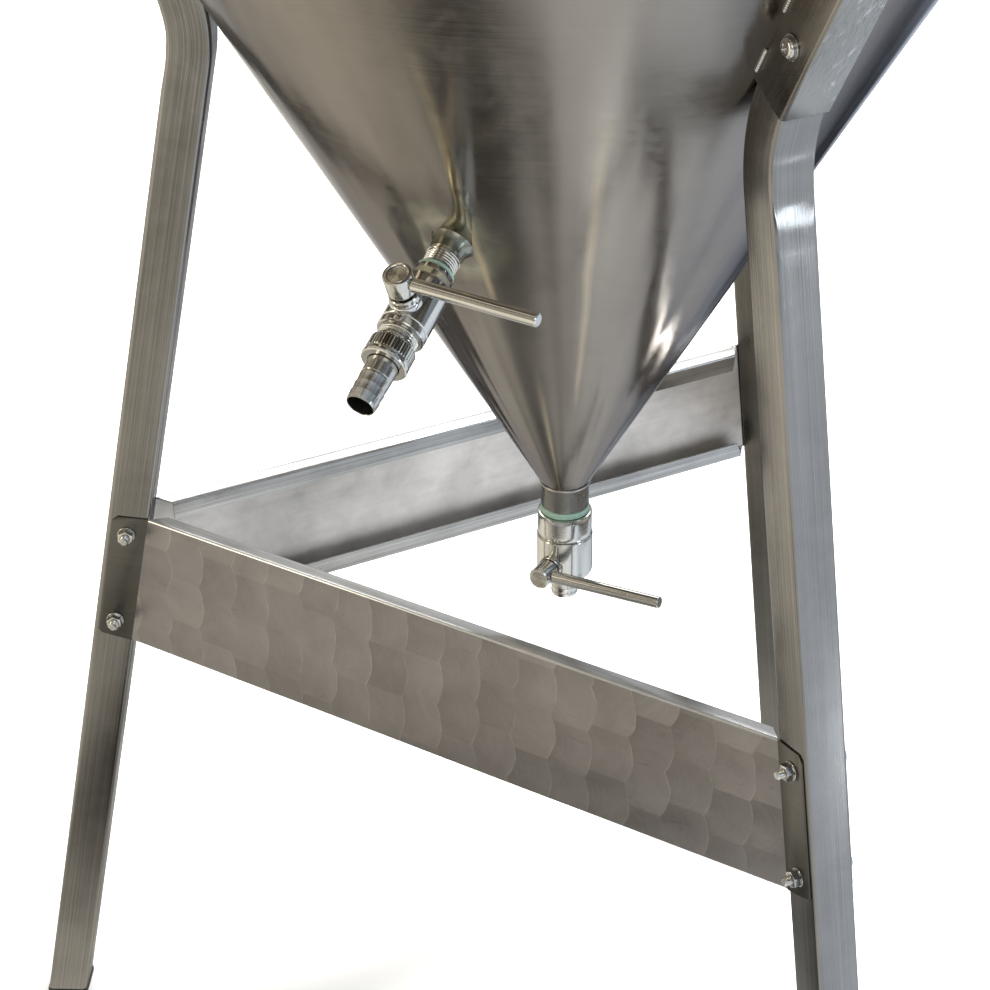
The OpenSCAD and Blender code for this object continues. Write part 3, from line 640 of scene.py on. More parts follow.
def make_leg(key):
    b = Build(R(LEG_AZ[key], "Z"))
    sec = round_rect(TUBE - .1, TUBE - .1, 3, 7)
    sec_in = round_rect(TUBE - 2 * WALL, TUBE - 2 * WALL, 1.5, 7)
    st, wrinkle_from, wrinkle_len = leg_stations()
    ph = ord(key) * 1.7
    rings_o, rings_i = [], []
    for j, (x, z, a, s) in enumerate(st):
        t = max(0.0, min(1.0, (s - wrinkle_from) / wrinkle_len))
        for sec_, rings in ((sec, rings_o), (sec_in, rings_i)):
            ring, per, last = [], 0.0, sec_[-1]
            for (p, q) in sec_:
                per += hypot(p - last[0], q - last[1])
                last = (p, q)
                pp = p
                if t > 0 and p > 0:
                    # the squeezed side of the bend wrinkles and hollows a little
                    mid = smooth(15, 7, abs(q))
                    ripple = cos(2 * pi * (t * 3.0 + .1) + .35 * sin(ph + 9 * t) + q / 40)
                    pp -= mid * sin(pi * t) * (1.4 + 1.3 * ripple)
                if 0 < t < 1 and p < 0:
                    pp += .6 * smooth(15, 7, abs(q)) * sin(pi * t)
                # +p points to the bend's centre, outward from the vessel
                X = x + pp * cos(a)
                Z = z - pp * sin(a)
                if j == 0:
                    Z = PAD + .02
                    X = x + pp / cos(radians(SPLAY))
                ring.append(b.vert((X, q, Z), (s / 1000, per / 1000)))
            rings.append(ring)
    b.loft(rings_o + rings_i[::-1], close_end=True)
    # painted shade: faces turned to the vessel's axis get the darker leg steel
    inward = R(LEG_AZ[key], "Z").to_3x3() @ Vector((-1, 0, 0))
    paint(b.done("leg_%s_tube" % key, SV, "leg_tube", "leg_" + key, sharp=50), ["leg_inner_painted_shade"],
          lambda c, normal: normal.dot(inward) > .9)


def make_bracket(key):
    w, o, h, r = BR_W - BR_T, BR_W, TUBE + .7, 2.6
    base = -.42

    def channel(top, side, r):
        half = [(base, side)] + [(top - r + r * sin(a),
                                  side - r + r * cos(a)) for a in [pi / 2 * k / 7 for k in range(8)]]
        return half + [(x, -y) for x, y in half[::-1]]
    path, inn = channel(h + BR_T, o, r), channel(h, w, r - BR_T)
    b = Build(on_cone(LEG_AZ[key]))
    rings, zs = [], [BR_S + e for e in (0, .5, BR_L - .5, BR_L)]
    for z, shrink in zip(zs, (.25, 0, 0, .25)):
        ring, per, last = [], 0.0, path[0]
        for (x, y), sgn in [(p, 1) for p in path] + [(p, -1) for p in inn[::-1]]:
            per += hypot(x - last[0], y - last[1])
            last = (x, y)
            k = shrink * sgn
            sx = -k if x > h - 3 else 0
            sy = -k if y > 0 else k
            ring.append(b.vert((x + sx, y + sy, z), (z / 1000, per / 1000)))
        rings.append(ring)
    b.loft(rings)
    n, m = len(rings[0]), len(path)
    for ring, flip in ((rings[0], False), (rings[-1], True)):
        for k in range(m - 1):
            q = (ring[k], ring[k + 1], ring[n - 2 - k], ring[n - 1 - k])
            b.face(*(q[::-1] if flip else q))
    outward = (on_cone(LEG_AZ[key]).to_3x3() @ Vector((1, 0, 0))).normalized()
    paint(b.done("bracket_%s_sheet" % key, SV, "bracket_sheet", "bracket_" + key, sharp=50), ["bracket_face"],
          lambda c, normal: normal.dot(outward) > .93)


def make_tacks():
    b = Build()
    for key, az in LEG_AZ.items():
        M = on_cone(az)
        for s in (1, -1):
            for k in (5.5, 52, 98.5):
                bead_line(b, M @ Vector((.25, s * (BR_W + .65), BR_S + k)),
                          M @ Vector((.25, s * (BR_W + .65), BR_S + k + 18)), 1.35, 1.7, 12, .4)
    b.done("tack_welds", SV, "weld", "bracket_welds", sharp=60)


def screw_frame(az, v):
    """a bracket screw's axis: Z points along the compass direction"""
    return on_cone(az) @ T(15.5, 0, BR_S + (41.5 if v == 0 else BR_L - 26)) @ R(-90, "X")


def bolt_frame(key, v):
    az = LEG_AZ[key]
    M = R(az, "Z") @ T(BRACE_X, 0, BRACE_Z) @ R(-SPLAY, "Y") @ T(0, 0, 16 if v == 0 else BRACE_H - 14) @ R(-90, "X")
    return M if NUT_SIDE[key] > 0 else M @ R(180, "X")


def hex_nut(b, M, h, bore):
    """a nut or bolt head 10 mm across its flats, turned at random"""
    half = 5.0
    rc = half * .985

    def rf(r, z, t, i):
        return half / cos((t % (pi / 3)) - pi / 6) if r == 99 else r

    def zf(r, z, t, i):
        # the corners are chamfered
        cut = max(0, r - rc) * tan(radians(28)) if i in (2, 3) else 0
        return z + cut if z < h / 2 else z - cut
    prof = [(bore + .45, -.001), (rc, 0), (99, 0), (99, h), (rc, h), (bore + .45, h), (bore, h - .45), (bore, .45)]
    b.at(M @ R(rnd.uniform(0, 60), "Z")).lathe(prof, 72, rf=rf, zf=zf)


def thread_end(b, M, z0, z1):
    """an M6 thread with a chamfered end"""
    r = 2.97
    prof, z = [(0, z0), (r - .05, z0)], z0
    while z + 1 < z1 - .7:
        prof += [(r, z + .12), (r, z + .25), (r - .52, z + .68), (r - .52, z + .8)]
        z += 1
    prof += [(r, z + .1), (r - .1, z1 - .7), (r - .75, z1), (0, z1)]
    b.at(M).lathe(prof, 40, loop=False)


def washer(b, M, ro=6.2, h=1.15):
    ri = 3.05
    b.at(M).lathe([(ri, .08), (ri + .1, 0), (ro - .18, 0), (ro, .16), (ro, h - .16), (ro - .18, h), (ri + .1, h),
                   (ri, h - .08)], 56)


def make_fasteners():
    bolts, nuts, wash = Build(), Build(), Build()
    bw = TUBE / 2 + BRACE_T + .04
    for key in "abc":
        for v in (0, 1):
            M = bolt_frame(key, v)
            hex_nut(bolts, M @ T(0, 0, -bw - 5.2), 4, .6)
            thread_end(bolts, M, -bw - 1.2, bw + 11.4)
            washer(wash, M @ T(0, 0, -bw - 1.2))
            washer(wash, M @ T(0, 0, bw + .02))
            hex_nut(nuts, M @ T(0, 0, bw + 1.2), 5, 2.98)
    bolts.done("brace_bolt_set", SV, "fastener_steel", "brace_bolts")
    wash.done("brace_washer_set", SV, "fastener_steel", "brace_washers")
    nuts.done("brace_nut_set", SV, "fastener_steel", "brace_nuts")
    screws, nuts, wash = Build(), Build(), Build()
    for key, az in LEG_AZ.items():
        for v in (0, 1):
            M = screw_frame(az, v)
            # pan head with a cross recess, its top towards -Z
            screws.at(M @ T(0, 0, -BR_W - 1.25) @ R(180, "X") @ R(rnd.uniform(0, 90), "Z"))
            prof = [(0, 3.4)] + [(.3 * k, 3.4 - .012 * (.3 * k) ** 2) for k in range(1, 14)]
            prof += [(4.4, 3.12), (5.0, 2.82), (5.5, 2.35), (5.85, 1.75), (6.0, 1.1), (6.0, .15), (5.85, 0), (0, 0)]

            def zf(r, z, t, i):
                if z < 2.9 or r > 3.6:
                    return z
                return z - 1.9 * smooth(.95, .55, min(abs(r * cos(t)), abs(r * sin(t)))) * smooth(3.2, 1.6, r)
            screws.lathe(prof, 96, loop=False, zf=zf)
            thread_end(screws, M, -BR_W - 1.2, BR_W + 8.7)
            washer(wash, M @ T(0, 0, -BR_W - 1.22), 7.4, 1.2)
            washer(wash, M @ T(0, 0, BR_W + .02))
            hex_nut(nuts, M @ T(0, 0, BR_W + 1.2), 5, 2.98)
    screws.done("bracket_screw_set", SV, "fastener_steel", "bracket_screws")
    wash.done("bracket_washer_set", SV, "fastener_steel", "bracket_washers")
    nuts.done("bracket_nut_set", SV, "fastener_steel", "bracket_nuts")


def make_brace(name, i, j):
    """a channel folded from one sheet, with an end tab on each leg's side"""
    lean = atan2(.5 * ST, 1)
    cut = .866 * ST * cos(lean)
    bin_ = TUBE / 2 - 1.3
    c = cos(radians(SPLAY))
    w0 = .866 * (BRACE_X - bin_ * c) - .5 * (TUBE / 2 + BRACE_T)
    x0 = .5 * (BRACE_X - bin_ * c) + .866 * (TUBE / 2 + BRACE_T)
    M = R(LEG_AZ[i] + 60, "Z") @ T(x0, 0, BRACE_Z - bin_ * sin(radians(SPLAY))) @ Matrix.Rotation(-lean, 4, "Y")
    H, t, F, L, r = BRACE_H, BRACE_T, 13.0, 14.5, 1.9
    b = Build(M)

    def end(z):
        return w0 - z * cut
    # the sheet's outside, from the lower lip round to the upper lip: x is depth (0 at the face), z height
    corners = [(-F, L), (-F, 0), (0, 0), (0, H), (-F, H), (-F, H - L)]
    outer = [corners[0]]
    for a, p, q in zip(corners, corners[1:], corners[2:]):
        u = Vector((a[0] - p[0], a[1] - p[1])).normalized()
        v = Vector((q[0] - p[0], q[1] - p[1])).normalized()
        cen = Vector(p) + (u + v) * r
        a0, a1 = Vector(p) + u * r - cen, Vector(p) + v * r - cen
        outer += [tuple(cen + (a0 * cos(k / 6 * pi / 2) + a1 * sin(k / 6 * pi / 2))) for k in range(7)]
    outer.append(corners[-1])
    n = len(outer)
    inner = []
    for k, p in enumerate(outer):
        a, q = outer[max(k - 1, 0)], outer[min(k + 1, n - 1)]
        d = Vector((q[0] - a[0], q[1] - a[1])).normalized()
        inner.append((p[0] - d.y * t, p[1] + d.x * t))
    # inside of the fold lies on the left of the path's direction
    if inner[n // 2][0] > outer[n // 2][0]:
        inner = [(2 * o_[0] - q_[0], 2 * o_[1] - q_[1]) for o_, q_ in zip(outer, inner)]
    ys = [-1, -.995] + [-.9 + .15 * k for k in range(13)] + [.995, 1]

    def half(x, z):
        zc = min(max(z, 0), H)
        lip = 3 * (abs(z - H / 2) < H / 2 - 2) if x < -F + 2 else 0
        return end(zc) - 8 * smooth(-1.2, -F, x) - (0 if x > -1.2 else 1) - lip
    ph = ord(i) * 3.1
    rings = []
    for y in ys:
        ring, s = [], 0.0
        for idx, (x, z) in enumerate(outer + inner[::-1]):
            ox, oz = outer[idx] if idx < n else outer[2 * n - 1 - idx]
            hw = half(ox, oz)
            wob = .35 * noise.noise((y * 2.2, oz / 55, ph)) * (1 if -2 < ox else .4) * (1 - y * y)
            ring.append(b.vert((x + wob, y * hw, z), ((y * hw + (0 if idx < n else 500)) / 1000, (oz - ox) / 1000)))
        rings.append(ring)
    b.loft(rings)
    m = 2 * n
    for ring in (rings[0], rings[-1]):
        for k in range(n - 1):
            b.face(ring[k], ring[k + 1], ring[m - 2 - k], ring[m - 1 - k])
    # end tabs
    for key, s in ((i, 1), (j, -1)):
        b.at(R(LEG_AZ[key], "Z") @ T(BRACE_X, 0, BRACE_Z) @ R(-SPLAY, "Y") @
             T(0, s * (TUBE / 2 + BRACE_T / 2 + .02), 0) @ R(90, "X"))
        q = [(-bin_ - .4, .1), (8.5, 2.5), (11.5, 5.5), (11.5, H - 4.5), (8, H - .6), (-bin_ - .4, H + 1.4)]
        lo_, hi_ = -t / 2, t / 2
        rr = []
        for zz, e in ((lo_, .22), (lo_ + .22, 0), (hi_ - .22, 0), (hi_, .22)):
            cx, cy = sum(p[0] for p in q) / 6, sum(p[1] for p in q) / 6
            rr.append([b.vert((p[0] - e * (1 if p[0] > cx else -1), p[1] - e * (1 if p[1] > cy else -1), zz),
                              (p[0] / 1000 + .2, p[1] / 1000)) for p in q])
        b.loft(rr, caps=True)
    inv = M.inverted()

    def region(c, normal):
        """0 the turned face, 1 inside, 2 folds, 3 end tabs, 4 the lips' outer faces"""
        c, nx = inv @ c, (inv.to_3x3() @ normal).x
        if abs(c.y) > end(c.z) - .6:
            return 3
        if nx > .97 and c.x > -1.0:
            return 0
        if nx < -.97 and c.x > -3:
            return 1
        return 4 if nx < -.8 and c.x < 2 - F else 2
    # the folds get a lighter copy of the steel, painted light; the lips and end tabs get darker copies, painted shade
    paint(b.done("%s_sheet" % name, SV, "engine_turned_sheet", name, sharp=40),
          ["brace_inside", "brace_fold_painted_light", "brace_tab", "brace_lip"], region)


def make_feet():
    b = Build()
    for az in LEG_AZ.values():
        b.M = R(az, "Z") @ T(FOOT_R - PAD * ST, 0, 0)
        rings = []
        for z, g in ((0, -.8), (.6, 0), (PAD - .6, 0), (PAD, -.6)):
            rings.append([b.vert((x, y, z)) for x, y in round_rect(TUBE + 2 + 2 * g, TUBE + 2 + 2 * g, 3.2, 6)])
        b.loft(rings, caps=True)
        b.M = R(az, "Z") @ T(FOOT_R, 0, 0) @ R(-SPLAY, "Y")
        rings = [[b.vert((x, y, z)) for x, y in round_rect(26.6 - g, 26.6 - g, 1.5, 5)]
                 for z, g in ((6.8, 0), (21, 0), (22, 1.4))]
        b.loft(rings, caps=True)
    b.done("foot_plugs", SV, "foot_rubber", "foot_pads")


# ball valves
def make_valve_hub(M, z, r, top, rod_x, skew, body, prefix, dish):
    F = M @ T(0, 0, z) @ R(skew, "X") @ R(-90, "Y")
    b = Build(F)
    if dish > .5:
        prof = [(0, 23.5), (r - .5, 23.5), (r, 24), (r, top - .9), (r - .25, top - .3), (r - .9, top),
                (r - 2.0, top), (r - 2.35, top - .3), (r - 2.5, top - 1.1), (r - 3.0, top - 1.25),
                (r - 3.3, top - .95)]
        face, depth, wave, steps = r - 3.4, .95, .05, 40
    else:
        prof = [(0, 23.5), (r - .5, 23.5), (r, 24), (r, top - .8), (r - .7, top), (r - 1.5, top), (r - 1.7, top - .12)]
        face, depth, wave, steps = r - 1.8, .15, .03, 30
    # the turned face is slightly wavy
    face = [face * (1 - k / steps) for k in range(steps)]
    prof += [(q, top - depth + wave * sin(q * 9)) for q in face] + [(0, top - depth)]
    b.lathe(prof, 112, loop=False)
    out = (F.to_3x3() @ Vector((0, 0, 1))).normalized()
    inv = F.inverted()

    def sunk_face(c, normal):
        c = inv @ c
        return normal.dot(out) > .9 and hypot(c.x, c.y) < r - 1.8 - dish and c.z > 30
    paint(b.done(prefix + "_hub_turned", body, "valve_chrome", prefix + "_hub", sharp=28), ["hub_face"], sunk_face)
    # lever rod screwed into the hub's side
    b = Build(F @ T(0, 0, rod_x) @ R(-90, "X"))
    e, rr = 92.0, 4.25
    c = sqrt(max(r * r - rr * rr, 0))
    prof = [(0, c - .5), (2.95, c - .5), (2.95, r - .2), (rr - .5, r + .02), (rr, r + .5)]
    prof += [(rr, r + 3 + (e - r - 6) * k / 6) for k in range(7)]
    prof += [(rr, e - .75), (rr - .25, e - .3), (rr - .8, e), (0, e)]
    b.lathe(prof, 56, loop=False)
    b.done(prefix + "_lever_rod", body, "valve_chrome", prefix + "_lever", sharp=28)


def make_racking():
    b = Build(RACK)
    b.lathe([(10.55, 23.3), (11.2, 23.2), (11.75, 23.9), (11.6, 24.7), (11.9, 25.3), (11.3, 25.7), (10.55, 25.6)], 96,
            rf=lambda r, z, t, i: r + (.22 * noise.noise((3 * cos(t), 3 * sin(t), z / 2)) if r > 11 else 0))
    b.done("racking_tape", SV, "seal_green", "racking_seal", sharp=60)
    # body: collar, cone to the barrel, barrel with a groove and a rolled end
    b = Build(RACK)
    prof = [(10, 25.8), (11.4, 25.7), (11.9, 25.9), (12.2, 26.4), (12.2, 29.6), (12.5, 30.4), (14.9, 35.3),
            (15.2, 36.2)]
    prof += [(15.2, 36.2 + 32 * k / 10) for k in range(1, 11)]
    prof += [(15.0, 68.5), (14.4, 68.9), (14.4, 69.8), (15.0, 70.2), (15.2, 70.5), (15.2, 73.9), (14.9, 74.5),
             (14.3, 74.7), (12.9, 74.7), (12.8, 74.5), (12.8, 70.1), (11.5, 70), (11.5, 46.4), (7, 46.3), (7, 33.6),
             (10, 33.5)]
    b.lathe(prof, 128)
    b.M = RACK @ T(0, 0, RACK_BALL) @ R(-90, "Y")
    b.lathe([(0, 12.5), (10.2, 12.5), (10.2, 15.2), (9.9, 15.9), (9.35, 16.5), (9.2, 17.2), (9.35, 17.5),
             (9.35, 19.9),
             (9.1, 20.4), (8.6, 20.7), (6.6, 20.7), (6.5, 20.6), (6.5, 18), (0, 18)], 96, loop=False)
    b.done("racking_body_turned", SV, "valve_chrome", "racking_body", sharp=26)
    # threaded collar, hose tail and knurled ring nut
    b = Build(RACK)
    b.lathe([(7, 70.1), (12.7, 70.1), (12.74, 70.3), (12.74, 75)] + pipe_thread(11.9, 12.68, 75.3, 6) +
            [(11.9, 87), (11.6, 87.5), (7, 87.5)], 112)
    b.done("racking_collar_threaded", SV, "valve_chrome", "racking_union", sharp=26)
    b = Build(RACK)
    prof = [(8.1, 89), (12.2, 89), (12.3, 89.2), (12.3, 92.2), (9.5, 92.4), (9.3, 92.7), (9.3, 97.2), (9.65, 97.6),
            (9.65, 107)]
    for z in (107.5, 113.8, 120.1):
        prof += [(9.25, z), (9.2, z + 1.3), (9.63, z + 1.6), (9.55, z + 2.2), (9.25, z + 5.5)]
    prof += [(9.15, 126.4), (8.95, 127.4), (8.7, 128), (8.3, 128), (8.1, 127.7)]
    b.lathe(prof, 112)
    b.done("racking_hose_tail", SV, "valve_chrome", "racking_tail", mat="hose_tail_steel", sharp=22)
    b = Build(RACK)
    teeth = 44

    def knurl(r, z, t, i):
        if r != 14.55:
            return r
        x = (t * teeth / (2 * pi)) % 1
        return 14.55 - 1.05 * smooth(.40, .58, x) * smooth(1.0, .82, x)
    prof = [(12.8, 82.3), (13.2, 82), (13.7, 82.2), (13.75, 82.8), (14.05, 83.1), (14.55, 83.5), (14.55, 84.5),
            (14.55, 90),
            (14.55, 91.7), (14.1, 92.2), (14.05, 92.7), (14.6, 93.2), (14.78, 93.7), (14.78, 95.8), (14.5, 96.6),
            (13.9, 97), (10.3, 97), (9.75, 96.6), (9.75, 92.6), (12.4, 92.45), (12.8, 92.3)]
    b.lathe(prof, teeth * 10, rf=knurl)
    ring = b.done("racking_ring_knurled", "racking_ring_nut", "valve_chrome", "racking_nut", sharp=26)
    # painted shade: the knurl's grooves get a darker steel
    ring.data.materials.append(MATS["knurl_groove_painted_shade"])
    for i, f in enumerate(ring.data.polygons):
        if i // (teeth * 10) in (5, 6, 7) and i % 10 in (5, 6, 7, 8):
            f.material_index = 1
    make_valve_hub(RACK, RACK_BALL, 9.05, 37, 30.4, 4.0, "racking_handle", "racking", 1)


def make_dump():
    b = Build(DUMP)
    b.lathe([(15.3, .3), (16.4, .15), (17.1, .8), (16.7, 1.7), (17.3, 2.6), (16.8, 3.6), (17.2, 4.6), (16.6, 5.1),
             (15.3, 5.1)],
            112, rf=lambda r, z, t, i: r + (.3 * noise.noise((3 * cos(t), 3 * sin(t), z / 2)) if r > 16 else 0))
    b.done("dump_tape", SV, "seal_green", "dump_seal", sharp=60)
    b = Build(DUMP)
    prof = [(15.3, 5.5), (16.2, 5.25), (18.6, 5.2), (19.1, 5.4), (19.3, 5.9)]
    prof += [(19.3, 6 + 16 * k / 5) for k in range(1, 6)]
    prof += [(19.15, 22.4), (18.7, 22.6), (13.95, 22.6), (13.95, 27), (7.5, 27), (7.5, 18.1), (15.3, 18)]
    b.lathe(prof, 144)
    b.done("dump_collar_turned", SV, "valve_chrome", "dump_collar", sharp=26)
    b = Build(DUMP)
    prof = [(14, 22.68), (18.6, 22.68), (18.85, 23.3), (19.7, 23.9), (20, 24.5)]
    prof += [(20, 24.5 + 28.3 * k / 8) for k in range(1, 9)]
    prof += [(19.8, 53.9), (19.3, 54.9), (18.6, 55.5), (17.8, 55.6), (13.7, 55.6), (13.6, 55.5), (13.6, 52.4),
             (12.1, 52.3), (12.1, 31.5), (7.5, 31.4), (7.5, 27.1), (14, 27.05)]
    b.lathe(prof, 144)
    b.M = DUMP @ T(0, 0, DUMP_BALL) @ R(-90, "Y")
    b.lathe([(0, 17.2), (8.6, 17.2), (8.6, 21.5), (8.5, 22.0), (8.0, 22.4), (6.6, 22.4), (6.5, 22.3), (6.5, 20),
             (0, 20)],
            96, loop=False)
    b.done("dump_body_turned", SV, "valve_chrome", "dump_body", sharp=26)
    b = Build(DUMP)
    prof = [(6.2, 52.5), (13.5, 52.5), (13.5, 55.6), (10.2, 55.6), (9.8, 55.9), (9.8, 66)]
    for z in (66.4, 70.8):
        prof += [(9.38, z), (9.35, z + 1.0), (9.75, z + 1.35), (9.65, z + 1.9), (9.4, z + 3.9)]
    prof += [(9.1, 74.4), (8.8, 74.8), (6.7, 74.8), (6.2, 74.3)]
    b.lathe(prof, 112)
    b.done("dump_hose_spout", SV, "valve_chrome", "dump_spout", sharp=22)
    make_valve_hub(DUMP, DUMP_BALL, 7.8, 38.5, 30.8, -3.5, "dump_handle", "dump", 0)


# lid, airlock, clips
def make_lid():
    rise, lid_r = 26.0, hi("lid_pan").x - 1.2
    z0 = RIM + 4 + 3
    b = Build()

    def dome(r):
        # a flat middle, an even slope to a step near the rim, its corners rounded over
        def raw(q):
            return rise if q <= 60 else rise - 20 * (q - 60) / 215 if q <= 275 else max(0, 6 * (290 - q) / 15)
        return 1.2 + sum(raw(abs(r + 2 * k)) for k in range(-4, 5)) / 9
    out = [(0, dome(0))] + [(r, dome(r)) for r in list(range(6, 264, 6)) + list(range(264, 299, 3))] + [(301, 1.2)]
    out += [(lid_r + .2, 1.1), (lid_r + .8, .7), (lid_r + 1.1, 0), (lid_r + 1.2, -.8), (lid_r + 1.2, -8.4),
            (lid_r + .9, -9), (lid_r + .2, -9), (lid_r, -8.6), (lid_r, -.6)]
    out += [(lid_r - .5, 0), (301, 0)] + [(r,
                                           dome(r) - 1.2) for r in list(range(297, 263, -3)) + list(range(252, 0, -12))]
    out += [(0, dome(0) - 1.2)]
    b.M = T(0, 0, z0)

    def zf(r, z, t, i):
        w = smooth(66, 100, r) * smooth(280, 240, r) * smooth(16, 34, hypot(r * cos(t) - 150, r * sin(t)))
        return z + w * .5 * noise.noise((r * cos(t) / 90, r * sin(t) / 90, 4)) - w * .3
    b.lathe(out, 240, loop=False, zf=zf)
    b.done("lid_dome", "lid", "vessel_sheet", "lid_pan", sharp=45)
    top = z0 + rise + 1.2
    b, w = Build(), Build()
    path = rounded([(0, -55, top + .2), (0, -55, top + 40), (0, 55, top + 40), (0, 55, top + .2)], 10, 10)
    b.rod(path, 5, 32)
    for s in (-1, 1):
        b.at(T(0, s * 55, top)).lathe([(0, .02), (8.6, .02), (9, .4), (9, 1.8), (8.5, 2.4), (6.2, 2.6), (0, 2.6)], 64,
                                      loop=False)
        bead_ring(w, 5.3, top + 2.9, .9, 1.7, M=T(0, s * 55, 0))
    b.done("lid_handle_bar", "lid", "bright_steel", "lid_handle", sharp=50)
    w.done("lid_handle_welds", "lid", "weld", sharp=60)
    # grommet
    az = lo("airlock_grommet").z + 6.2
    G = T(150, 0, az)
    b = Build(G)
    b.lathe([(5.05, -5.8), (5.5, -6.2), (13.4, -6.2), (14, -5.6), (14, -3.2), (13.5, -2.6), (10.8, -2.6), (10.8, 2.9),
             (14.6, 2.9), (15, 3.4), (15, 5.4), (14.2, 6.4), (6, 6.4), (5.05, 5.8)], 72)
    b.done("airlock_grommet_rubber", "lid", "black_rubber", "airlock_grommet")
    b = Build(G)
    b.lathe([(3.6, -21.6), (3.9, -22), (4.5, -22), (4.9, -21.2), (5, -20), (5, 30), (5.6, 31), (14, 30.2), (15, 30.8),
             (19.6, 35.2),
             (20, 36.2), (20, 44), (20, 60), (20, 75), (20.0, 81.6), (19.7, 82), (18.9, 82), (18.6, 81.7), (18.6, 60),
             (18.6, 36.9),
             (18.2, 36.1), (13.6, 31.6), (5.3, 31.6), (5, 32), (5, 55.4), (4.6, 56), (3.9, 56), (3.6, 55.6)], 96)
    b.done("airlock_cup_clear", "airlock", "clear_plastic", "airlock_body", sharp=30)
    A = G @ T(0, 0, 30)
    b = Build(A)

    def ribs(r, z, t, i):
        return r - .35 * (.5 - .5 * cos(t * 36)) if abs(r - 21.6) < .01 else r
    cap = [(0, 52.1), (20.1, 52.1), (20.1, 44.2), (20.4, 44), (21.3, 44), (21.6, 44.4), (21.6, 46), (21.6, 50),
           (21.6, 52.4),
           (21.2, 53.1), (20.4, 53.6), (18, 53.6), (17.4, 53.1), (13, 53.1), (12.4, 53.5), (0, 53.5)]
    b.lathe(cap, 216, loop=False, rf=ribs)
    b.done("airlock_cap_moulded", "airlock_lid", "red_plastic", "airlock_cap", sharp=30)
    # the cap's vents: small black discs sunk into it, painted shade standing in for the dark inside the holes
    b = Build(A)
    for k in range(6):
        b.M = A @ R(60 * k, "Z") @ T(9, 0, 0)
        b.lathe([(0, 53.3), (1.5, 53.3), (1.5, 53.56), (1.35, 53.56), (1.2, 53.35), (0, 53.35)], 24, loop=False)
    b.done("airlock_cap_vent_shade_discs", "airlock_lid", "black_rubber")
    b = Build(A)
    b.lathe([(0, 26.3), (9.4, 26.3), (9.8, 25.9), (9.8, 2.2), (10, 2), (10.8, 2), (11, 2.3), (11, 24), (11, 26.4),
             (10.6, 27.2),
             (9.8, 27.6), (0, 27.6)], 80, loop=False)
    b.done("airlock_bell_moulded", "airlock_bell", "float_plastic", "airlock_float", sharp=30)


def make_clips():
    cx, cz = VR + 13, RIM - 45
    base = Build()
    for k, az in enumerate((45, 135, 225, 315)):
        F = R(az, "Z")
        base.M = F @ T(VR + .02, 0, cz - 4) @ R(90, "Y")
        poly = round_rect(36, 28, 3, 5)
        rings = [[base.vert((x * s, y * s, z)) for x, y in poly] for z, s in ((0, 1), (2.6, 1), (3.0, .975))]
        base.loft(rings, caps=True)
        for s in (-1, 1):
            base.M = F @ T(0, s * 12 + 1.5, cz) @ R(90, "X")
            q = [(VR + 2.2, -8), (cx, -8)] + [(cx + 8 * sin(a),
                                               -8 * cos(a)) for a in [pi * j / 16 for j in range(1, 16)]]
            q += [(cx, 8), (VR + 2.2, 8)]
            m = (sum(p[0] for p in q) / len(q), 0)
            rings = [[base.vert((m[0] + (x - m[0]) * g, y * g, z)) for x, y in q] for z, g in
                     ((0, .965), (.35, 1), (2.65, 1), (3, .965))]
            base.loft(rings, caps=True)
            # rivets that hold the plate
            base.M = F @ T(VR + 3, s * 8, cz - 17) @ R(90, "Y")
            base.lathe([(0, 0), (2.4, 0), (2.4, .3), (1.9, 1.0), (.9, 1.4), (0, 1.5)], 24, loop=False)
        base.M = F @ T(cx, 0, cz) @ R(90, "X")
        base.lathe([(0, -15), (2.6, -15), (3, -14.6), (3, 14.6), (2.6, 15), (0, 15)], 36, loop=False)
        # strap folded round the pin, with a hooked end
        b = Build(F @ T(cx, 0, cz))
        # eye as a tube, strap and hook as a prism
        b.M = b.M @ R(90, "X")
        b.lathe([(3.3, -9.9), (3.5, -10), (4.7, -10), (5, -9.7), (5, 9.7), (4.7, 10), (3.5, 10), (3.3, 9.9)], 48)
        strap = [(-1, -4.6), (-1, -58.5), (-.55, -60.3), (.6, -61.3), (1.6, -61.5), (16.8, -61.5), (18.3, -60.9),
                 (19, -59.4),
                 (19, -54.3), (18.5, -53.5), (16.5, -53.5), (16, -54.3), (16, -57.6), (15.2, -58.5), (3.2, -58.5),
                 (2.3, -57.9),
                 (2, -57), (2, -4.3)]
        n = len(strap)
        rings = []
        for zz, e in ((-10, .3), (-9.7, 0), (9.7, 0), (10, .3)):
            ring = []
            for q in range(n):
                a_, p_, c_ = strap[q - 1], strap[q], strap[(q + 1) % n]
                d = (Vector(c_) - Vector(a_)).normalized()
                ring.append(b.vert((p_[0] - d.y * e, p_[1] + d.x * e, zz), (p_[1] / 1000, p_[0] / 1000)))
            rings.append(ring)
        b.loft(rings, caps=True)
        b.done("lid_clip_strap_%d" % (k + 1), "lid_clip_%d" % (k + 1), "bright_steel", "clip_%d" % (k + 1), sharp=40)
    base.done("clip_mounts", SV, "bright_steel", "clip_bases", sharp=40)


# build
make_vessel()
for key in "abc":
    make_leg(key)
    make_bracket(key)
make_tacks()
make_fasteners()
make_brace("brace_ab", "a", "b")
make_brace("brace_bc", "b", "c")
make_brace("brace_ca", "c", "a")
make_feet()
make_racking()
make_dump()
make_lid()
make_clips()

slots = {s["node"]: s["material_slot"] for s in frame["record"]["subparts"]}
for name, ob in frame["nodes"].items():
    ob.data.materials.clear()
    ob.data.materials.append(MATS[slots[name]])

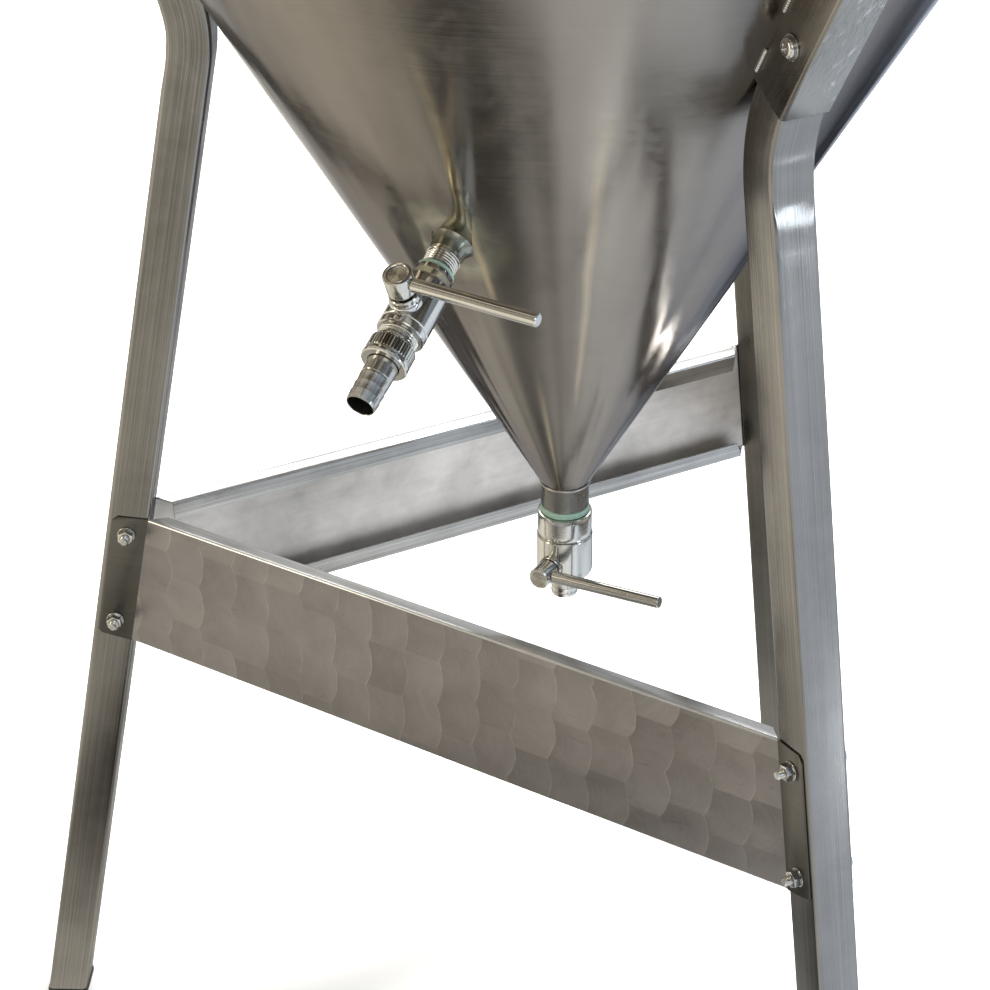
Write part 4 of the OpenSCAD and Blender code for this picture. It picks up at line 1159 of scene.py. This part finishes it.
# studio
floor_me = bpy.data.meshes.new("floor")
floor_me.from_pydata([(-14, -14, 0), (14, -14, 0), (14, 14, 0), (-14, 14, 0)], [], [(0, 1, 2, 3)])
floor = in_scene("floor", floor_me)
fn = Nodes(bpy.data.materials.new("pale_floor"))
at = fn.ob()
fn.surface(Base_Color=fn.vmath("SCALE", (.93, .93, .93), fn.noise(at, 3, 3).ramp(.3, .7, .99, 1.01)), Roughness=.8,
           Specular_IOR_Level=.1)
# painted reflection: glossy rays see the floor as a glowing sheet, pale all round, with painted shade in the middle
# under the stand and vessel, and painted dark and bright pools elsewhere; each row is a soft spot at x, y, its size in
# x and y, and how much lighter or darker it is
painted_floor_glow = 1.12
for x, y, sx, sy, amount in (
        (-.24, -.25, .17, .17, -.95), (-.31, -.40, .14, .12, -.70), (-.15, 0, .09, .10, -.65),
        (-.05, .22, .15, .16, -.70), (.11, -.28, .085, .12, .60), (.53, -.22, .11, .12, -.65),
        (-.55, -.1, .2, .2, -.35), (.78, 1.15, .40, .42, -.95), (.42, 1.0, .22, .36, -.75),
        (1.45, -.74, .20, .12, 3.6), (-.80, -.50, .32, .22, -.20), (-.42, -.74, .20, .20, -.45),
        (-.60, -1.9, .50, 1.0, -.65), (-.50, -.28, .14, .12, -.40), (-.15, -.33, .09, .09, -.45),
        (.04, -.12, .07, .08, -.30), (-.06, -.04, .09, .08, -.35)):
    d = fn.vmath("MULTIPLY", fn.vmath("SUBTRACT", at, (x, y, 0)), (1 / sx, 1 / sy, 0))
    painted_floor_glow = painted_floor_glow + fn.math("EXPONENT", fn.vmath("DOT_PRODUCT", d, d) * -1.0) * amount
painted_floor_glow = fn.math("MAXIMUM", painted_floor_glow, .10) * fn.noise(at, 7, 3).ramp(.3, .7, .84, 1.16)
# painted reflection tint: warmer to the left, cooler to the right
sides = fn.mix(fn.xyz(at)[0].ramp(-.5, .6), (1.06, 1.0, .86, 1), (.88, .97, 1.10, 1))
painted_reflection = fn.out("Emission", (fn.vmath("SCALE", sides, painted_floor_glow), 1.0))
# glossy rays see this painted glow in place of the lit floor
fn.put(fn.end.inputs[0], fn.out("MixShader", (fn.out("LightPath", pick="Is Glossy Ray"), fn.b.outputs[0], painted_reflection)))
floor_me.materials.append(fn.owner)

bpy.context.scene.world = bpy.data.worlds.new("studio")
W = Nodes(bpy.context.scene.world, "OutputWorld", "Background")
way = W.out("TexCoord", pick="Generated")
side, _, height = W.xyz(way)
sky = W.new("ValToRGB", (height.ramp(-1, 1),))
stops = sky.color_ramp.elements
stops[0].position, stops[0].color = 0.0, (.5, .5, .5, 1)
stops[1].position, stops[1].color = 1.0, (1.0, 1.0, 1.02, 1)
for pos, c in ((.49, (.55, .54, .52, 1)), (.53, (.40, .39, .38, 1)), (.64, (.75, .75, .76, 1)),
               (.80, (.62, .62, .63, 1))):
    stops.new(pos).color = c
warm_cool = W.mix(side.ramp(-.7, .7), (1.0, .90, .72, 1), (.74, .86, 1.0, 1))
streak = W.cloud(way, (5, 5, 1.3)).ramp(.38, .62, .25, 1.5)
look = W.mix(1.0, sky.outputs[0], W.vmath("SCALE", warm_cool, streak), blend_type="MULTIPLY")
# a pale wall behind the object where a picture looks past the floor
W.put(W.b.inputs[0], W.mix(W.out("LightPath", pick="Is Camera Ray"), look, (.80, .80, .80, 1)))
# matt surfaces get a little more of the room's light than shiny metal mirrors
W.put(W.b.inputs[1], W.out("LightPath", pick="Is Diffuse Ray").ramp(0, 1, .85, 1.15))

for name, loc, target, size, power, color in (
        ("key_top_back", (.65, .85, 3.5), (-.05, .1, 0), (1.0, 1.0), 270, (1, .985, .96)),
        ("floor_back", (0, 3.0, 3.0), (0, 2.6, 0), (3, 1.0), 45, (1, 1, 1)),
        ("front_soft", (.3, -3.3, 2.5), (0, 0, .6), (2.2, 1.2), 12, (1, .98, .95)),
        ("fill_left", (-2.2, -.9, 1.2), (0, 0, .6), (.4, 1.6), 8, (1, .90, .72)),
        ("fill_right", (2.6, -1.5, .9), (.2, -.3, .6), (.6, .5), 8, (.78, .88, 1))):
    lamp = bpy.data.lights.new(name, "AREA")
    lamp.shape, lamp.size, lamp.size_y, lamp.energy, lamp.color = "RECTANGLE", *size, power, color
    ob = in_scene(name, lamp)
    ob.location = loc
    ob.rotation_euler = (Vector(target) - Vector(loc)).to_track_quat("-Z", "Y").to_euler()

# camera
cam = bpy.data.cameras.new("camera")
cam_ob = in_scene("camera", cam)
yaw, pitch, roll = radians(-2.616), radians(-30.768), radians(-.664)
fwd = Vector((sin(yaw) * cos(pitch), cos(yaw) * cos(pitch), sin(pitch)))
level = Vector((cos(yaw), -sin(yaw), 0))
over = level.cross(fwd)
right, up = level * cos(roll) + over * sin(roll), over * cos(roll) - level * sin(roll)
cam_ob.matrix_world = T(.01564, -1.42529, 1.3142) @ Matrix((right, up, -fwd)).transposed().to_4x4()
cam.sensor_width, cam.lens = 36, 85.37
cam.clip_start, cam.clip_end = .05, 60
bpy.context.scene.camera = cam_ob
bpy.context.scene.view_settings.view_transform = "Standard"
